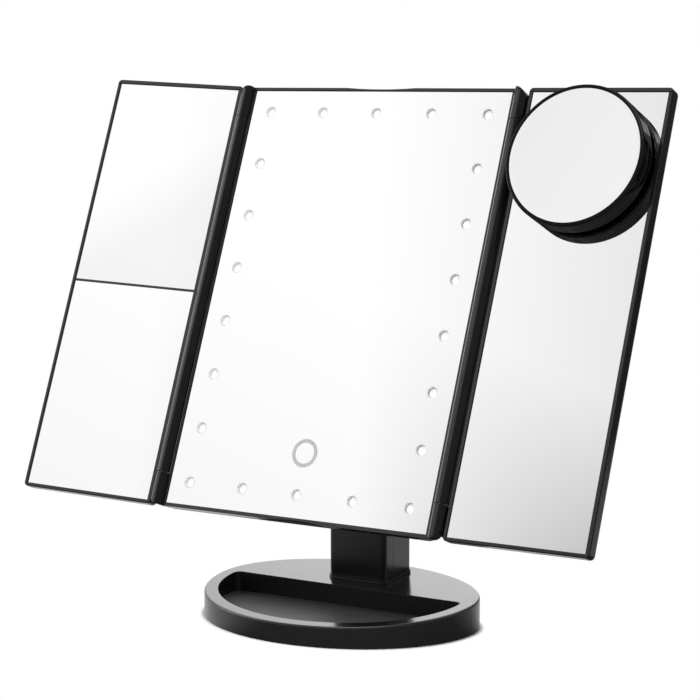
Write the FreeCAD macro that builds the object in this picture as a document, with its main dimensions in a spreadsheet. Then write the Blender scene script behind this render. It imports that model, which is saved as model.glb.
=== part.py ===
import FreeCAD, Part
import math
import os
import Sketcher
from FreeCAD import Placement, Rotation, Vector

# Lighted three-panel makeup mirror on a column and an oval base with a tray.
# Millimetres, +Z up, the user looks along +Y. The origin is under the middle of the base.

# Driving sizes, one cell of the sheet each
SIZES = {
    # Centre panel
    "mirror_width": 157.4,
    "mirror_height": 231.6,
    "glass_thickness": 2.0,
    "glass_recess": 0.3,
    "glass_play": 0.1,
    "rim_width": 1.6,
    "rim_end": 2.0,
    "rim_round": 0.6,
    "ledge_width": 5.0,
    "frame_depth": 5.5,
    "cover_depth": 4.5,
    "cover_wall": 1.8,
    "cover_round": 3.0,
    "panel_corner": 6.0,
    "notch_width": 42.0,
    "notch_depth": 0.8,
    "tilt_rest": 22.2,
    # Lights and touch ring
    "led_columns": 5,
    "led_rows": 8,
    "led_margin": 12.0,
    "led_window_radius": 3.05,
    "led_window_thickness": 0.4,
    "led_length": 3.5,
    "led_width": 2.8,
    "led_height": 0.8,
    "led_gap": 0.1,
    "board_thickness": 1.2,
    "board_play": 0.3,
    "board_band": 20.0,
    "touch_above_edge": 33.9,
    "touch_ring_radius": 7.5,
    "touch_ring_width": 2.0,
    "touch_ring_depth": 0.4,
    # Wings and their hinges
    "wing_mirror_width": 74.6,
    "wing_hinge_rim": 2.5,
    "wing_outer_rim": 2.4,
    "wing_rise": 0.6,
    "lip_start": 1.2,
    "lip_gap": 0.5,
    "wing_corner": 2.3,
    "wing_ledge": 3.0,
    "wing_back_depth": 2.8,
    "wing_back_wall": 1.5,
    "wing_back_round": 2.6,
    "left_open": 7.1,
    "right_open": 0.6,
    "divider_width": 1.2,
    "knuckle_radius": 3.5,
    "knuckle_length": 17.4,
    "knuckle_gap": 0.3,
    "hinge_clearance": 0.4,
    "hinge_lift": 0.5,
    "pin_radius": 1.0,
    "pin_length": 22.0,
    "pin_clearance": 0.05,
    # Round magnifying mirror on the right wing
    "spot_radius": 37.15,
    "spot_offset": 42.8,
    "spot_rise": 77.6,
    "spot_height": 13.65,
    "spot_gap": 3.0,
    "spot_case": 5.0,
    "spot_rest_gap": 0.5,
    "spot_neck_radius": 30.0,
    "spot_neck_wall": 2.5,
    "spot_edge_round": 1.0,
    "spot_rim": 1.9,
    "spot_glass_edge": 1.6,
    "spot_glass_recess": 0.4,
    "spot_glass_hollow": 0.8,
    "cup_radius": 26.0,
    "cup_stem_radius": 12.0,
    "cup_hollow": 0.8,
    "cup_lip": 0.6,
    # Oval base
    "base_half_width": 77.5,
    "base_front_depth": 65.2,
    "base_back_depth": 50.2,
    "base_height": 15.0,
    "base_slope": 0.074,
    "base_wall": 2.0,
    "base_edge_round": 1.0,
    "tray_band": 7.3,
    "tray_back": 10.4,
    "tray_floor": 5.0,
    "tray_floor_skin": 1.6,
    "tray_corner": 3.5,
    "plate_thickness": 2.0,
    "plate_play": 0.15,
    "foot_radius": 6.0,
    "foot_proud": 0.4,
    "foot_sunk": 0.8,
    "foot_front_x": 38.0,
    "foot_front_y": 28.0,
    "foot_back_x": 42.0,
    "foot_back_y": 34.0,
    "weight_half_width": 46.0,
    "weight_depth": 26.0,
    "weight_height": 7.5,
    "weight_corner": 10.0,
    # Column
    "column_width": 35.2,
    "column_depth": 27.6,
    "column_front": 20.95,
    "column_wall": 2.0,
    "column_floor": 3.0,
    "column_round": 2.5,
    "column_inner_round": 0.8,
    "column_seam": 8.2,
    "seam_gap": 0.3,
    "tongue": 1.0,
    "tongue_reach": 3.0,
    "tongue_play": 0.1,
    "collar_proud": 1.0,
    "collar_height": 1.5,
    "collar_corner": 4.5,
    "column_screw_x": 10.0,
    "column_screw_front": 12.0,
    "column_screw_back": 22.5,
    "column_boss_radius": 3.2,
    "column_boss_height": 6.0,
    # Cells and door
    "cell_radius": 7.1,
    "cells_below_axis": 15.0,
    "cell_nub_radius": 2.7,
    "cell_nub_height": 1.5,
    "cell_play": 0.3,
    "cell_low": 44.0,
    "contact_thickness": 0.5,
    "holder_wall": 1.5,
    "door_width": 29.0,
    "door_play": 0.2,
    "door_ledge": 2.0,
    "door_rib_height": 0.5,
    # Switch and charging socket
    "circuit_width": 27.0,
    "circuit_height": 15.5,
    "circuit_low": 26.0,
    "circuit_depth": 4.4,
    "socket_width": 7.6,
    "socket_height": 2.9,
    "socket_skin": 0.4,
    "socket_tongue": 0.6,
    "socket_low": 26.5,
    "switch_low": 33.5,
    "switch_slot_width": 9.0,
    "switch_slot_height": 3.4,
    "switch_knob_width": 4.6,
    "switch_knob_height": 3.0,
    "switch_knob_proud": 1.4,
    "switch_body_wall": 0.6,
    "knob_groove_pitch": 1.4,
    "knob_groove_width": 0.6,
    "knob_groove_depth": 0.4,
    "switch_travel": 4.0,
    # Tilt joint
    "tilt_axis_height": 160.0,
    "axis_behind_face": 34.8,
    "axis_above_centre": 4.3,
    "axle_radius": 2.5,
    "axle_clearance": 0.05,
    "axle_tube_radius": 5.0,
    "axle_head_radius": 4.6,
    "axle_head_height": 2.0,
    "ear_thickness": 5.0,
    "ear_round": 9.0,
    "ear_root": 15.0,
    "washer_radius": 7.0,
    "washer_thickness": 0.8,
    "washer_play": 0.1,
    "bracket_width": 58.0,
    "bracket_height": 46.0,
    "bracket_thickness": 3.0,
    "bracket_corner": 4.0,
    "bracket_screw_x": 12.0,
    "bracket_screw_y": 17.0,
    # Screws
    "screw_radius": 1.0,
    "screw_play": 0.05,
    "screw_head_radius": 1.9,
    "screw_head_height": 1.2,
    "screw_recess": 0.1,
    "boss_radius": 2.8,
    "cover_screw_inset": 5.1,
    "cover_screw_end": 9.8,
    "cover_screw_low": 36.0,
    "base_screw_inset": 4.4,
}

doc = FreeCAD.newDocument("LightedMakeupMirror")
sheet = doc.addObject("Spreadsheet::Sheet", "Sizes")
for row, (alias, number) in enumerate(SIZES.items(), start=1):
    sheet.set("A%d" % row, alias.replace("_", " "))
    sheet.set("B%d" % row, str(number))
    sheet.setAlias("B%d" % row, alias)
doc.recompute()


# A size with its number and the expression that binds a property to the sheet
class Measure:
    def __init__(self, value, text):
        self.value = value
        self.text = text

    def __add__(self, other):
        other = measure(other)
        return Measure(self.value + other.value, "(%s + %s)" % (self.text, other.text))

    def __sub__(self, other):
        other = measure(other)
        return Measure(self.value - other.value, "(%s - %s)" % (self.text, other.text))

    def __mul__(self, other):
        other = measure(other)
        return Measure(self.value * other.value, "(%s * %s)" % (self.text, other.text))

    def __truediv__(self, other):
        other = measure(other)
        return Measure(self.value / other.value, "(%s / %s)" % (self.text, other.text))

    def __radd__(self, other):
        return measure(other) + self

    def __rsub__(self, other):
        return measure(other) - self

    def __rmul__(self, other):
        return measure(other) * self

    def __neg__(self):
        return measure(0) - self


def measure(number):
    if isinstance(number, Measure):
        return number
    return Measure(float(number), "(%s)" % repr(float(number)))


class Sheet:
    def __getattr__(self, alias):
        return Measure(float(sheet.get(alias)), "Sizes." + alias)


S = Sheet()
ZERO = measure(0)


def bind(item, prop, amount):
    item.setExpression(prop, measure(amount).text)


# Sketches on a body's own origin planes
def new_body(name):
    return doc.addObject("PartDesign::Body", name)


def new_sketch(body, role="XY_Plane", lift=0):
    sketch = body.newObject("Sketcher::SketchObject", body.Name + "_sketch")
    plane = next(item for item in body.Origin.OriginFeatures if item.Role == role)
    sketch.AttachmentSupport = [(plane, "")]
    sketch.MapMode = "FlatFace"
    bind(sketch, "AttachmentOffset.Base.z", lift)
    return sketch


def hold(sketch, kind, geo, pos, amount):
    amount = measure(amount)
    if amount.text == ZERO.text:
        axis = -2 if kind == "DistanceX" else -1
        sketch.addConstraint(Sketcher.Constraint("PointOnObject", geo, pos, axis))
        return
    index = sketch.addConstraint(Sketcher.Constraint(kind, -1, 1, geo, pos, amount.value))
    bind(sketch, "Constraints[%d]" % index, amount)


# A closed outline. A corner is (x, y), or (x, y, centre x, centre y, turn) where an arc leaves it.
def outline(sketch, corners):
    first = sketch.GeometryCount
    spots = [Vector(measure(c[0]).value, measure(c[1]).value, 0) for c in corners]
    ends = []
    for index, corner in enumerate(corners):
        here = spots[index]
        there = spots[(index + 1) % len(corners)]
        if len(corner) == 2:
            sketch.addGeometry(Part.LineSegment(here, there), False)
            ends.append((1, 2))
            continue
        middle = Vector(measure(corner[2]).value, measure(corner[3]).value, 0)
        circle = Part.Circle(middle, Vector(0, 0, 1), (here - middle).Length)
        start = math.atan2(here.y - middle.y, here.x - middle.x)
        stop = math.atan2(there.y - middle.y, there.x - middle.x)
        if corner[4] > 0:
            sketch.addGeometry(Part.ArcOfCircle(circle, start, stop), False)
            ends.append((1, 2))
        else:
            sketch.addGeometry(Part.ArcOfCircle(circle, stop, start), False)
            ends.append((2, 1))
    for index, corner in enumerate(corners):
        after = (index + 1) % len(corners)
        joint = Sketcher.Constraint("Coincident", first + index, ends[index][1], first + after,
                                    ends[after][0])
        sketch.addConstraint(joint)
    for index, corner in enumerate(corners):
        before = corners[index - 1]
        keep_x = True
        keep_y = True
        if len(before) > 2:
            arm_x = abs(spots[index].x - measure(before[2]).value)
            arm_y = abs(spots[index].y - measure(before[3]).value)
            keep_x = arm_x < arm_y
            keep_y = not keep_x
        if keep_x:
            hold(sketch, "DistanceX", first + index, ends[index][0], corner[0])
        if keep_y:
            hold(sketch, "DistanceY", first + index, ends[index][0], corner[1])
        if len(corner) > 2:
            hold(sketch, "DistanceX", first + index, 3, corner[2])
            hold(sketch, "DistanceY", first + index, 3, corner[3])


def rectangle(sketch, low_x, high_x, low_y, high_y):
    outline(sketch, [(low_x, low_y), (high_x, low_y), (high_x, high_y), (low_x, high_y)])


def circle(sketch, radius, x=0, y=0):
    radius = measure(radius)
    index = sketch.addGeometry(
        Part.Circle(Vector(measure(x).value, measure(y).value, 0), Vector(0, 0, 1), radius.value), False)
    number = sketch.addConstraint(Sketcher.Constraint("Radius", index, radius.value))
    bind(sketch, "Constraints[%d]" % number, radius)
    hold(sketch, "DistanceX", index, 3, x)
    hold(sketch, "DistanceY", index, 3, y)


# Features of a body
def pad(body, sketch, length, back=False, both=False):
    feature = body.newObject("PartDesign::Pad", body.Name + "_pad")
    feature.Profile = sketch
    bind(feature, "Length", length)
    feature.Reversed = back
    if both:
        feature.SideType = "Symmetric"
    doc.recompute()
    return feature


def pocket(body, sketch, depth, back=False, both=False):
    before = body.Shape.Volume
    feature = body.newObject("PartDesign::Pocket", body.Name + "_pocket")
    feature.Profile = sketch
    bind(feature, "Length", depth)
    feature.Reversed = back
    if both:
        feature.SideType = "Symmetric"
    doc.recompute()
    if body.Shape.Volume > before - 1e-6:
        raise RuntimeError("a pocket of %s cuts nothing" % body.Name)
    return feature


def turned(name, corners):
    body = new_body(name)
    sketch = new_sketch(body, "XZ_Plane")
    outline(sketch, corners)
    feature = body.newObject("PartDesign::Revolution", name + "_turn")
    feature.Profile = sketch
    feature.ReferenceAxis = (sketch, ["V_Axis"])
    feature.Angle = 360
    doc.recompute()
    return body


def round_edges(body, radius, chosen):
    base = body.Tip
    names = ["Edge%d" % number for number, edge in enumerate(base.Shape.Edges, start=1) if chosen(edge)]
    if not names:
        raise RuntimeError("no edge of %s to round" % body.Name)
    feature = body.newObject("PartDesign::Fillet", body.Name + "_round")
    feature.Base = (base, names)
    bind(feature, "Radius", radius)
    doc.recompute()
    return feature


def along_z(edge):
    box = edge.BoundBox
    return box.ZLength > 1e-4 and box.XLength < 1e-4 and box.YLength < 1e-4


def flat_at(height):
    level = measure(height).value
    return lambda edge: abs(edge.BoundBox.ZMin - level) < 1e-4 and abs(edge.BoundBox.ZMax - level) < 1e-4


def plate(name, low_x, high_x, low_y, high_y, front, depth):
    body = new_body(name)
    sketch = new_sketch(body, "XY_Plane", front)
    rectangle(sketch, low_x, high_x, low_y, high_y)
    pad(body, sketch, depth, back=True)
    return body


def recess(body, low_x, high_x, low_y, high_y, front, depth, back=False):
    sketch = new_sketch(body, "XY_Plane", front)
    rectangle(sketch, low_x, high_x, low_y, high_y)
    return pocket(body, sketch, depth, back)


# Primitives and booleans
def block(name, low_x, high_x, low_y, high_y, low_z, high_z):
    item = doc.addObject("Part::Box", name)
    bind(item, "Length", measure(high_x) - low_x)
    bind(item, "Width", measure(high_y) - low_y)
    bind(item, "Height", measure(high_z) - low_z)
    bind(item, "Placement.Base.x", low_x)
    bind(item, "Placement.Base.y", low_y)
    bind(item, "Placement.Base.z", low_z)
    return item


TURNS = {
    "X": Rotation(Vector(0, 1, 0), 90),
    "Y": Rotation(Vector(1, 0, 0), -90),
    "Z": Rotation(),
}


def rod(name, radius, x, y, z, length, axis="Z"):
    item = doc.addObject("Part::Cylinder", name)
    item.Placement = Placement(Vector(), TURNS[axis])
    bind(item, "Radius", radius)
    bind(item, "Height", length)
    bind(item, "Placement.Base.x", x)
    bind(item, "Placement.Base.y", y)
    bind(item, "Placement.Base.z", z)
    return item


def joined(name, pieces):
    item = doc.addObject("Part::MultiFuse", name)
    item.Shapes = list(pieces)
    item.Refine = True
    doc.recompute()
    return item


def without(name, base, tools):
    tools = list(tools)
    tool = tools[0] if len(tools) == 1 else joined(name + "_tools", tools)
    item = doc.addObject("Part::Cut", name)
    item.Base = base
    item.Tool = tool
    item.Refine = True
    doc.recompute()
    return item


def shared(name, first, second):
    item = doc.addObject("Part::Common", name)
    item.Base = first
    item.Tool = second
    item.Refine = True
    doc.recompute()
    return item


def together(name, pieces):
    item = doc.addObject("Part::Compound", name)
    item.Links = list(pieces)
    return item


def screw(name, radius, head_radius, head_height, x, y, z, length, up=True):
    head_z = measure(z) - head_height if up else measure(z)
    shank_z = measure(z) - 0.1 if up else measure(z) - length
    head = rod(name + "_head", head_radius, x, y, head_z, head_height)
    shank = rod(name + "_shank", radius, x, y, shank_z, measure(length) + 0.1)
    return joined(name, [head, shank])


NODES = []


def node(label, item, place=None):
    item.Label = label
    if place is not None:
        item.Placement = place
    NODES.append(item)


# Places of the tilted panel and of the two wings
column_mid = S.column_front + S.column_depth / 2
hinge_x = S.mirror_width / 2 + S.rim_width + S.hinge_clearance + S.knuckle_radius
tilt_place = Placement(
    Vector(0, column_mid.value, S.tilt_axis_height.value),
    Rotation(Vector(1, 0, 0), 90 - S.tilt_rest.value))
panel_place = tilt_place.multiply(
    Placement(Vector(0, -S.axis_above_centre.value, S.axis_behind_face.value), Rotation()))


def wing_place(side, opening):
    hinge = Vector(side * hinge_x.value, 0, S.hinge_lift.value)
    return panel_place.multiply(Placement(hinge, Rotation(Vector(0, 1, 0), -side * opening.value)))


# Centre panel. In its own axes X is to the right, Y up the glass and Z towards the user.
half_x = S.mirror_width / 2 + S.rim_width
half_y = S.mirror_height / 2 + S.rim_end
seat_x = S.mirror_width / 2 + S.glass_play
seat_y = S.mirror_height / 2 + S.glass_play
open_x = S.mirror_width / 2 - S.ledge_width
open_y = S.mirror_height / 2 - S.ledge_width
glass_back = -(S.glass_recess + S.glass_thickness)
touch_drop = S.mirror_height / 2 - S.touch_above_edge
cover_back = -(S.frame_depth + S.cover_depth)
cover_inside = cover_back + S.cover_wall
knuckle_low = half_y - S.knuckle_length
pin_start = knuckle_low - S.knuckle_gap / 2 - S.pin_length / 2

frame_plate = plate("frame_plate", -half_x, half_x, -half_y, half_y, 0, S.frame_depth)
recess(frame_plate, -seat_x, seat_x, -seat_y, seat_y, 0, S.glass_recess + S.glass_thickness)
recess(frame_plate, -open_x, open_x, -open_y, open_y, 0, S.frame_depth)
knuckle_parts = [frame_plate]
for side in (-1, 1):
    for low in (knuckle_low, -half_y):
        tag = "%s_%s" % ("right" if side > 0 else "left", "top" if low is knuckle_low else "bottom")
        knuckle_parts.append(rod("knuckle_" + tag, S.knuckle_radius, side * hinge_x, low, S.hinge_lift,
                                 S.knuckle_length, "Y"))
        edge = half_x - S.rim_width / 2
        span = (edge, hinge_x) if side > 0 else (-hinge_x, -edge)
        knuckle_parts.append(block("web_" + tag, span[0], span[1], low, low + S.knuckle_length,
                                   S.hinge_lift - S.knuckle_radius, 0))
frame_blank = joined("frame_blank", knuckle_parts)
corner_tool = plate("frame_corners", -(hinge_x + S.knuckle_radius), hinge_x + S.knuckle_radius, -half_y,
                    half_y,
                    S.hinge_lift + S.knuckle_radius + 1, S.frame_depth + S.knuckle_radius * 2 + 2)
round_edges(corner_tool, S.panel_corner, along_z)
frame_round = shared("frame_round", frame_blank, corner_tool)
notch_radius = S.notch_width * S.notch_width / (8 * S.notch_depth) + S.notch_depth / 2
frame_cuts = []
for side in (-1, 1):
    frame_cuts.append(rod("notch_top" if side > 0 else "notch_bottom", notch_radius, 0,
                          side * (half_y - S.notch_depth + notch_radius), -S.frame_depth - 1,
                          S.frame_depth + 2))
    frame_cuts.append(rod("pin_hole_top" + ("_r" if side > 0 else "_l"), S.pin_radius, side * hinge_x,
                          pin_start,
                          S.hinge_lift, S.pin_length, "Y"))
    frame_cuts.append(rod("pin_hole_low" + ("_r" if side > 0 else "_l"), S.pin_radius, side * hinge_x,
                          -pin_start - S.pin_length, S.hinge_lift, S.pin_length, "Y"))
cover_screw_x = half_x - S.cover_screw_inset
cover_screw_high = S.mirror_height / 2 - S.cover_screw_end
cover_screws = [(side * cover_screw_x, level) for side in (-1, 1)
                for level in (cover_screw_high, S.cover_screw_low, -S.cover_screw_low, -cover_screw_high)]
for number, (x, y) in enumerate(cover_screws):
    frame_cuts.append(rod("frame_pilot_%d" % number, S.screw_radius, x, y, -S.frame_depth - 1,
                          1 + S.frame_depth + glass_back - 0.5))
node("centre_frame", without("centre_frame", frame_round, frame_cuts), panel_place)

# Places of the lights, round the edge of a grid
pitch_x = (S.mirror_width - 2 * S.led_margin) / (S.led_columns - 1)
pitch_y = (S.mirror_height - 2 * S.led_margin) / (S.led_rows - 1)
led_columns = int(round(S.led_columns.value))
led_rows = int(round(S.led_rows.value))
led_places = []
for column in range(led_columns):
    for row in range(led_rows):
        if column in (0, led_columns - 1) or row in (0, led_rows - 1):
            led_places.append((-S.mirror_width / 2 + S.led_margin + column * pitch_x,
                               -S.mirror_height / 2 + S.led_margin + row * pitch_y))

# Centre glass with clear light windows and the groove of the touch ring
centre_mirror = plate("centre_mirror", -S.mirror_width / 2, S.mirror_width / 2,
                      -S.mirror_height / 2, S.mirror_height / 2, -S.glass_recess, S.glass_thickness)
holes = new_sketch(centre_mirror, "XY_Plane", -S.glass_recess)
for x, y in led_places:
    circle(holes, S.led_window_radius, x, y)
pocket(centre_mirror, holes, S.glass_thickness)
groove = new_sketch(centre_mirror, "XY_Plane", -S.glass_recess)
circle(groove, S.touch_ring_radius, 0, -touch_drop)
circle(groove, S.touch_ring_radius - S.touch_ring_width, 0, -touch_drop)
pocket(centre_mirror, groove, S.touch_ring_depth)
node("centre_mirror", centre_mirror, panel_place)

touch_ring = new_body("touch_ring")
ring_sketch = new_sketch(touch_ring, "XY_Plane", -S.glass_recess)
circle(ring_sketch, S.touch_ring_radius, 0, -touch_drop)
circle(ring_sketch, S.touch_ring_radius - S.touch_ring_width, 0, -touch_drop)
pad(touch_ring, ring_sketch, S.touch_ring_depth, back=True)
node("touch_ring", touch_ring, panel_place)

windows = []
chips = []
board_front = glass_back - S.led_gap - S.led_height
for number, (x, y) in enumerate(led_places):
    windows.append(rod("window_%d" % number, S.led_window_radius, x, y, glass_back, S.led_window_thickness))
    chips.append(block("chip_%d" % number, x - S.led_length / 2, x + S.led_length / 2,
                       y - S.led_width / 2, y + S.led_width / 2, board_front, board_front + S.led_height))
node("led_windows", together("led_windows", windows), panel_place)
node("leds", together("leds", chips), panel_place)

board_x = open_x - S.board_play
board_y = open_y - S.board_play
led_board = plate("led_board", -board_x, board_x, -board_y, board_y, board_front, S.board_thickness)
recess(led_board, -board_x + S.board_band, board_x - S.board_band,
       -touch_drop + S.touch_ring_radius * 2, board_y - S.board_band, board_front, S.board_thickness)
node("led_board", led_board, panel_place)
touch_sensor = new_body("touch_sensor")
sensor_sketch = new_sketch(touch_sensor, "XY_Plane", board_front)
circle(sensor_sketch, S.touch_ring_radius, 0, -touch_drop)
pad(touch_sensor, sensor_sketch, S.led_height + S.led_gap)
node("touch_sensor", touch_sensor, panel_place)

# Rear cover: rounded shell with screw bosses and pegs that carry the light board
rear_shell = plate("rear_shell", -half_x, half_x, -half_y, half_y, -S.frame_depth, S.cover_depth)
round_edges(rear_shell, S.cover_round, along_z)
round_edges(rear_shell, S.cover_round, flat_at(cover_back))
recess(rear_shell, -half_x + S.cover_wall, half_x - S.cover_wall, -half_y + S.cover_wall,
       half_y - S.cover_wall,
       -S.frame_depth, S.cover_depth - S.cover_wall)
bracket_screws = [(sx * S.bracket_screw_x, S.axis_above_centre + sy * S.bracket_screw_y)
                  for sx in (-1, 1) for sy in (-1, 1)]
board_back = board_front - S.board_thickness
peg_x = board_x - S.board_band / 2
cover_parts = [rear_shell]
cover_cuts = []
for number, (x, y) in enumerate(cover_screws):
    cover_parts.append(rod("cover_boss_%d" % number, S.boss_radius, x, y, cover_inside,
                           -S.frame_depth - cover_inside))
    cover_cuts.append(rod("cover_hole_%d" % number, S.screw_radius + S.screw_play, x, y, cover_back - 1,
                          S.cover_depth + 2))
    cover_cuts.append(rod("cover_sink_%d" % number, S.screw_head_radius + S.screw_play, x, y, cover_back - 1,
                          1 + S.screw_recess + S.screw_head_height))
for number, (x, y) in enumerate(bracket_screws):
    cover_parts.append(rod("bracket_boss_%d" % number, S.boss_radius, x, y, cover_inside,
                           -S.frame_depth - cover_inside))
    cover_cuts.append(rod("bracket_pilot_%d" % number, S.screw_radius, x, y, cover_back - 1, S.cover_depth))
for sx in (-1, 1):
    for sy in (-1, 1):
        cover_parts.append(rod("peg_%d_%d" % (sx + 1, sy + 1), S.boss_radius, sx * peg_x,
                               sy * (board_y - S.board_band * 1.2), cover_inside, board_back - cover_inside))
cover_blank = joined("cover_blank", cover_parts)
node("rear_cover", without("rear_cover", cover_blank, cover_cuts), panel_place)

cover_screw_seat = cover_back + S.screw_recess + S.screw_head_height
cover_screw_items = []
for number, (x, y) in enumerate(cover_screws):
    cover_screw_items.append(screw("cover_screw_%d" % number, S.screw_radius, S.screw_head_radius,
                                   S.screw_head_height, x, y, cover_screw_seat,
                                   glass_back - 1 - cover_screw_seat))
node("rear_screws", together("rear_screws", cover_screw_items), panel_place)

# Tilt bracket: plate on the rear cover with two ears that straddle the column
ear_in = S.column_width / 2 + S.washer_thickness + 2 * S.washer_play
ear_out = ear_in + S.ear_thickness
axis_y = S.axis_above_centre
axis_z = -S.axis_behind_face
bracket_back = cover_back - S.bracket_thickness
tilt_bracket = plate("tilt_bracket", -S.bracket_width / 2, S.bracket_width / 2, axis_y - S.bracket_height / 2,
                     axis_y + S.bracket_height / 2, cover_back, S.bracket_thickness)
round_edges(tilt_bracket, S.bracket_corner, along_z)
for side in (-1, 1):
    ear = new_sketch(tilt_bracket, "YZ_Plane", side * ear_in)
    outline(ear, [(axis_y - S.ear_root, bracket_back + 0.5),
                  (axis_y - S.ear_round, axis_z, axis_y, axis_z, 1),
                  (axis_y + S.ear_round, axis_z),
                  (axis_y + S.ear_root, bracket_back + 0.5)])
    pad(tilt_bracket, ear, S.ear_thickness, back=side < 0)
bore = new_sketch(tilt_bracket, "YZ_Plane", 0)
circle(bore, S.axle_radius + S.axle_clearance, axis_y, axis_z)
pocket(tilt_bracket, bore, S.bracket_width, both=True)
screw_holes = new_sketch(tilt_bracket, "XY_Plane", cover_back)
for x, y in bracket_screws:
    circle(screw_holes, S.screw_radius + S.screw_play, x, y)
pocket(tilt_bracket, screw_holes, S.bracket_thickness)
head_holes = new_sketch(tilt_bracket, "XY_Plane", bracket_back + S.screw_head_height + S.screw_recess)
for x, y in bracket_screws:
    circle(head_holes, S.screw_head_radius + S.screw_play, x, y)
pocket(tilt_bracket, head_holes, S.screw_head_height + S.screw_recess)
node("tilt_bracket", tilt_bracket, panel_place)

bracket_screw_items = []
bracket_seat = bracket_back + S.screw_recess + S.screw_head_height
for number, (x, y) in enumerate(bracket_screws):
    bracket_screw_items.append(screw("bracket_screw_%d" % number, S.screw_radius, S.screw_head_radius,
                                     S.screw_head_height, x, y, bracket_seat,
                                     -S.frame_depth - 1.5 - bracket_seat))
node("bracket_screws", together("bracket_screws", bracket_screw_items), panel_place)

# Hinge pins, fixed in the centre panel's knuckles
pins = []
for side in (-1, 1):
    pins.append(rod("pin_top_%d" % (side + 1), S.pin_radius, side * hinge_x, pin_start, S.hinge_lift,
                    S.pin_length, "Y"))
    pins.append(rod("pin_low_%d" % (side + 1), S.pin_radius, side * hinge_x, -pin_start - S.pin_length,
                    S.hinge_lift,
                    S.pin_length, "Y"))
node("hinge_pins", together("hinge_pins", pins), panel_place)

# Wings. In a wing's own axes the hinge axis is Y and the wing reaches out along +X or -X.
wing_front = -S.hinge_lift
wing_start = S.knuckle_radius + S.hinge_clearance
wing_glass_start = wing_start + S.wing_hinge_rim
wing_glass_end = wing_glass_start + S.wing_mirror_width
wing_end = wing_glass_end + S.wing_outer_rim
wing_seam = wing_front - S.frame_depth
barrel_half = knuckle_low - S.knuckle_gap
wing_top = half_y + S.wing_rise


def span_x(side, low, high):
    if side > 0:
        return measure(low), measure(high)
    return -measure(high), -measure(low)


def wing_frame(name, side, divided):
    low, high = span_x(side, wing_start, wing_end)
    body = plate(name + "_plate", low, high, -half_y, wing_top, wing_front, S.frame_depth)
    round_edges(body, S.wing_corner, along_z)
    round_edges(body, S.rim_round, flat_at(wing_front))
    low, high = span_x(side, wing_glass_start - S.glass_play, wing_glass_end + S.glass_play)
    depth = S.glass_recess + S.glass_thickness
    if divided:
        bar = S.divider_width / 2
        recess(body, low, high, bar, seat_y, wing_front, depth)
        recess(body, low, high, -seat_y, -bar, wing_front, depth)
    else:
        recess(body, low, high, -seat_y, seat_y, wing_front, depth)
    low, high = span_x(side, wing_glass_start + S.wing_ledge, wing_glass_end - S.wing_ledge)
    if divided:
        recess(body, low, high, S.wing_ledge, seat_y - S.wing_ledge, wing_front, S.frame_depth)
        recess(body, low, high, S.wing_ledge - seat_y, -S.wing_ledge, wing_front, S.frame_depth)
    else:
        recess(body, low, high, S.wing_ledge - seat_y, seat_y - S.wing_ledge, wing_front, S.frame_depth)
    barrel = rod(name + "_barrel", S.knuckle_radius, 0, -barrel_half, 0, 2 * barrel_half, "Y")
    low, high = span_x(side, 0, wing_start + S.wing_hinge_rim / 2)
    web = block(name + "_web", low, high, -barrel_half, barrel_half, -S.knuckle_radius, wing_front)
    parts = [body, barrel, web]
    low, high = span_x(side, S.lip_start, wing_start + S.wing_hinge_rim / 2)
    lip_end = half_y - S.wing_corner
    lip_front = -(S.knuckle_radius + S.lip_gap)
    for tag, low_y, high_y in (("_lip_top", barrel_half, lip_end), ("_lip_low", -lip_end, -barrel_half)):
        parts.append(block(name + tag, low, high, low_y, high_y, wing_seam, lip_front))
    blank = joined(name + "_blank", parts)
    bore = S.pin_radius + S.pin_clearance
    top = rod(name + "_bore_top", bore, 0, pin_start - 1, 0, S.pin_length, "Y")
    bottom = rod(name + "_bore_low", bore, 0, 1 - pin_start - S.pin_length, 0, S.pin_length, "Y")
    return without(name, blank, [top, bottom])


def wing_glass(name, side, low_y, high_y):
    low, high = span_x(side, wing_glass_start, wing_glass_end)
    return plate(name, low, high, low_y, high_y, wing_front - S.glass_recess, S.glass_thickness)


def wing_back(name, side):
    low, high = span_x(side, wing_start, wing_end)
    body = plate(name, low, high, -half_y, wing_top, wing_seam, S.wing_back_depth)
    round_edges(body, S.wing_corner, along_z)
    round_edges(body, S.wing_back_round, flat_at(wing_seam - S.wing_back_depth))
    wall = S.wing_back_wall
    recess(body, low + wall, high - wall, wall - half_y, wing_top - wall, wing_seam, S.wing_back_depth - wall)
    return body


left_place = wing_place(-1, S.left_open)
right_place = wing_place(1, S.right_open)
bar_side = S.divider_width / 2 + S.glass_play
node("left_wing_frame", wing_frame("left_wing_frame", -1, True), left_place)
node("left_upper_mirror", wing_glass("left_upper_mirror", -1, bar_side, S.mirror_height / 2), left_place)
node("left_lower_mirror", wing_glass("left_lower_mirror", -1, -S.mirror_height / 2, -bar_side), left_place)
node("left_wing_back", wing_back("left_wing_back", -1), left_place)
node("right_wing_frame", wing_frame("right_wing_frame", 1, False), right_place)
node("right_wing_mirror", wing_glass("right_wing_mirror", 1, -S.mirror_height / 2, S.mirror_height / 2),
     right_place)
node("right_wing_back", wing_back("right_wing_back", 1), right_place)

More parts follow.
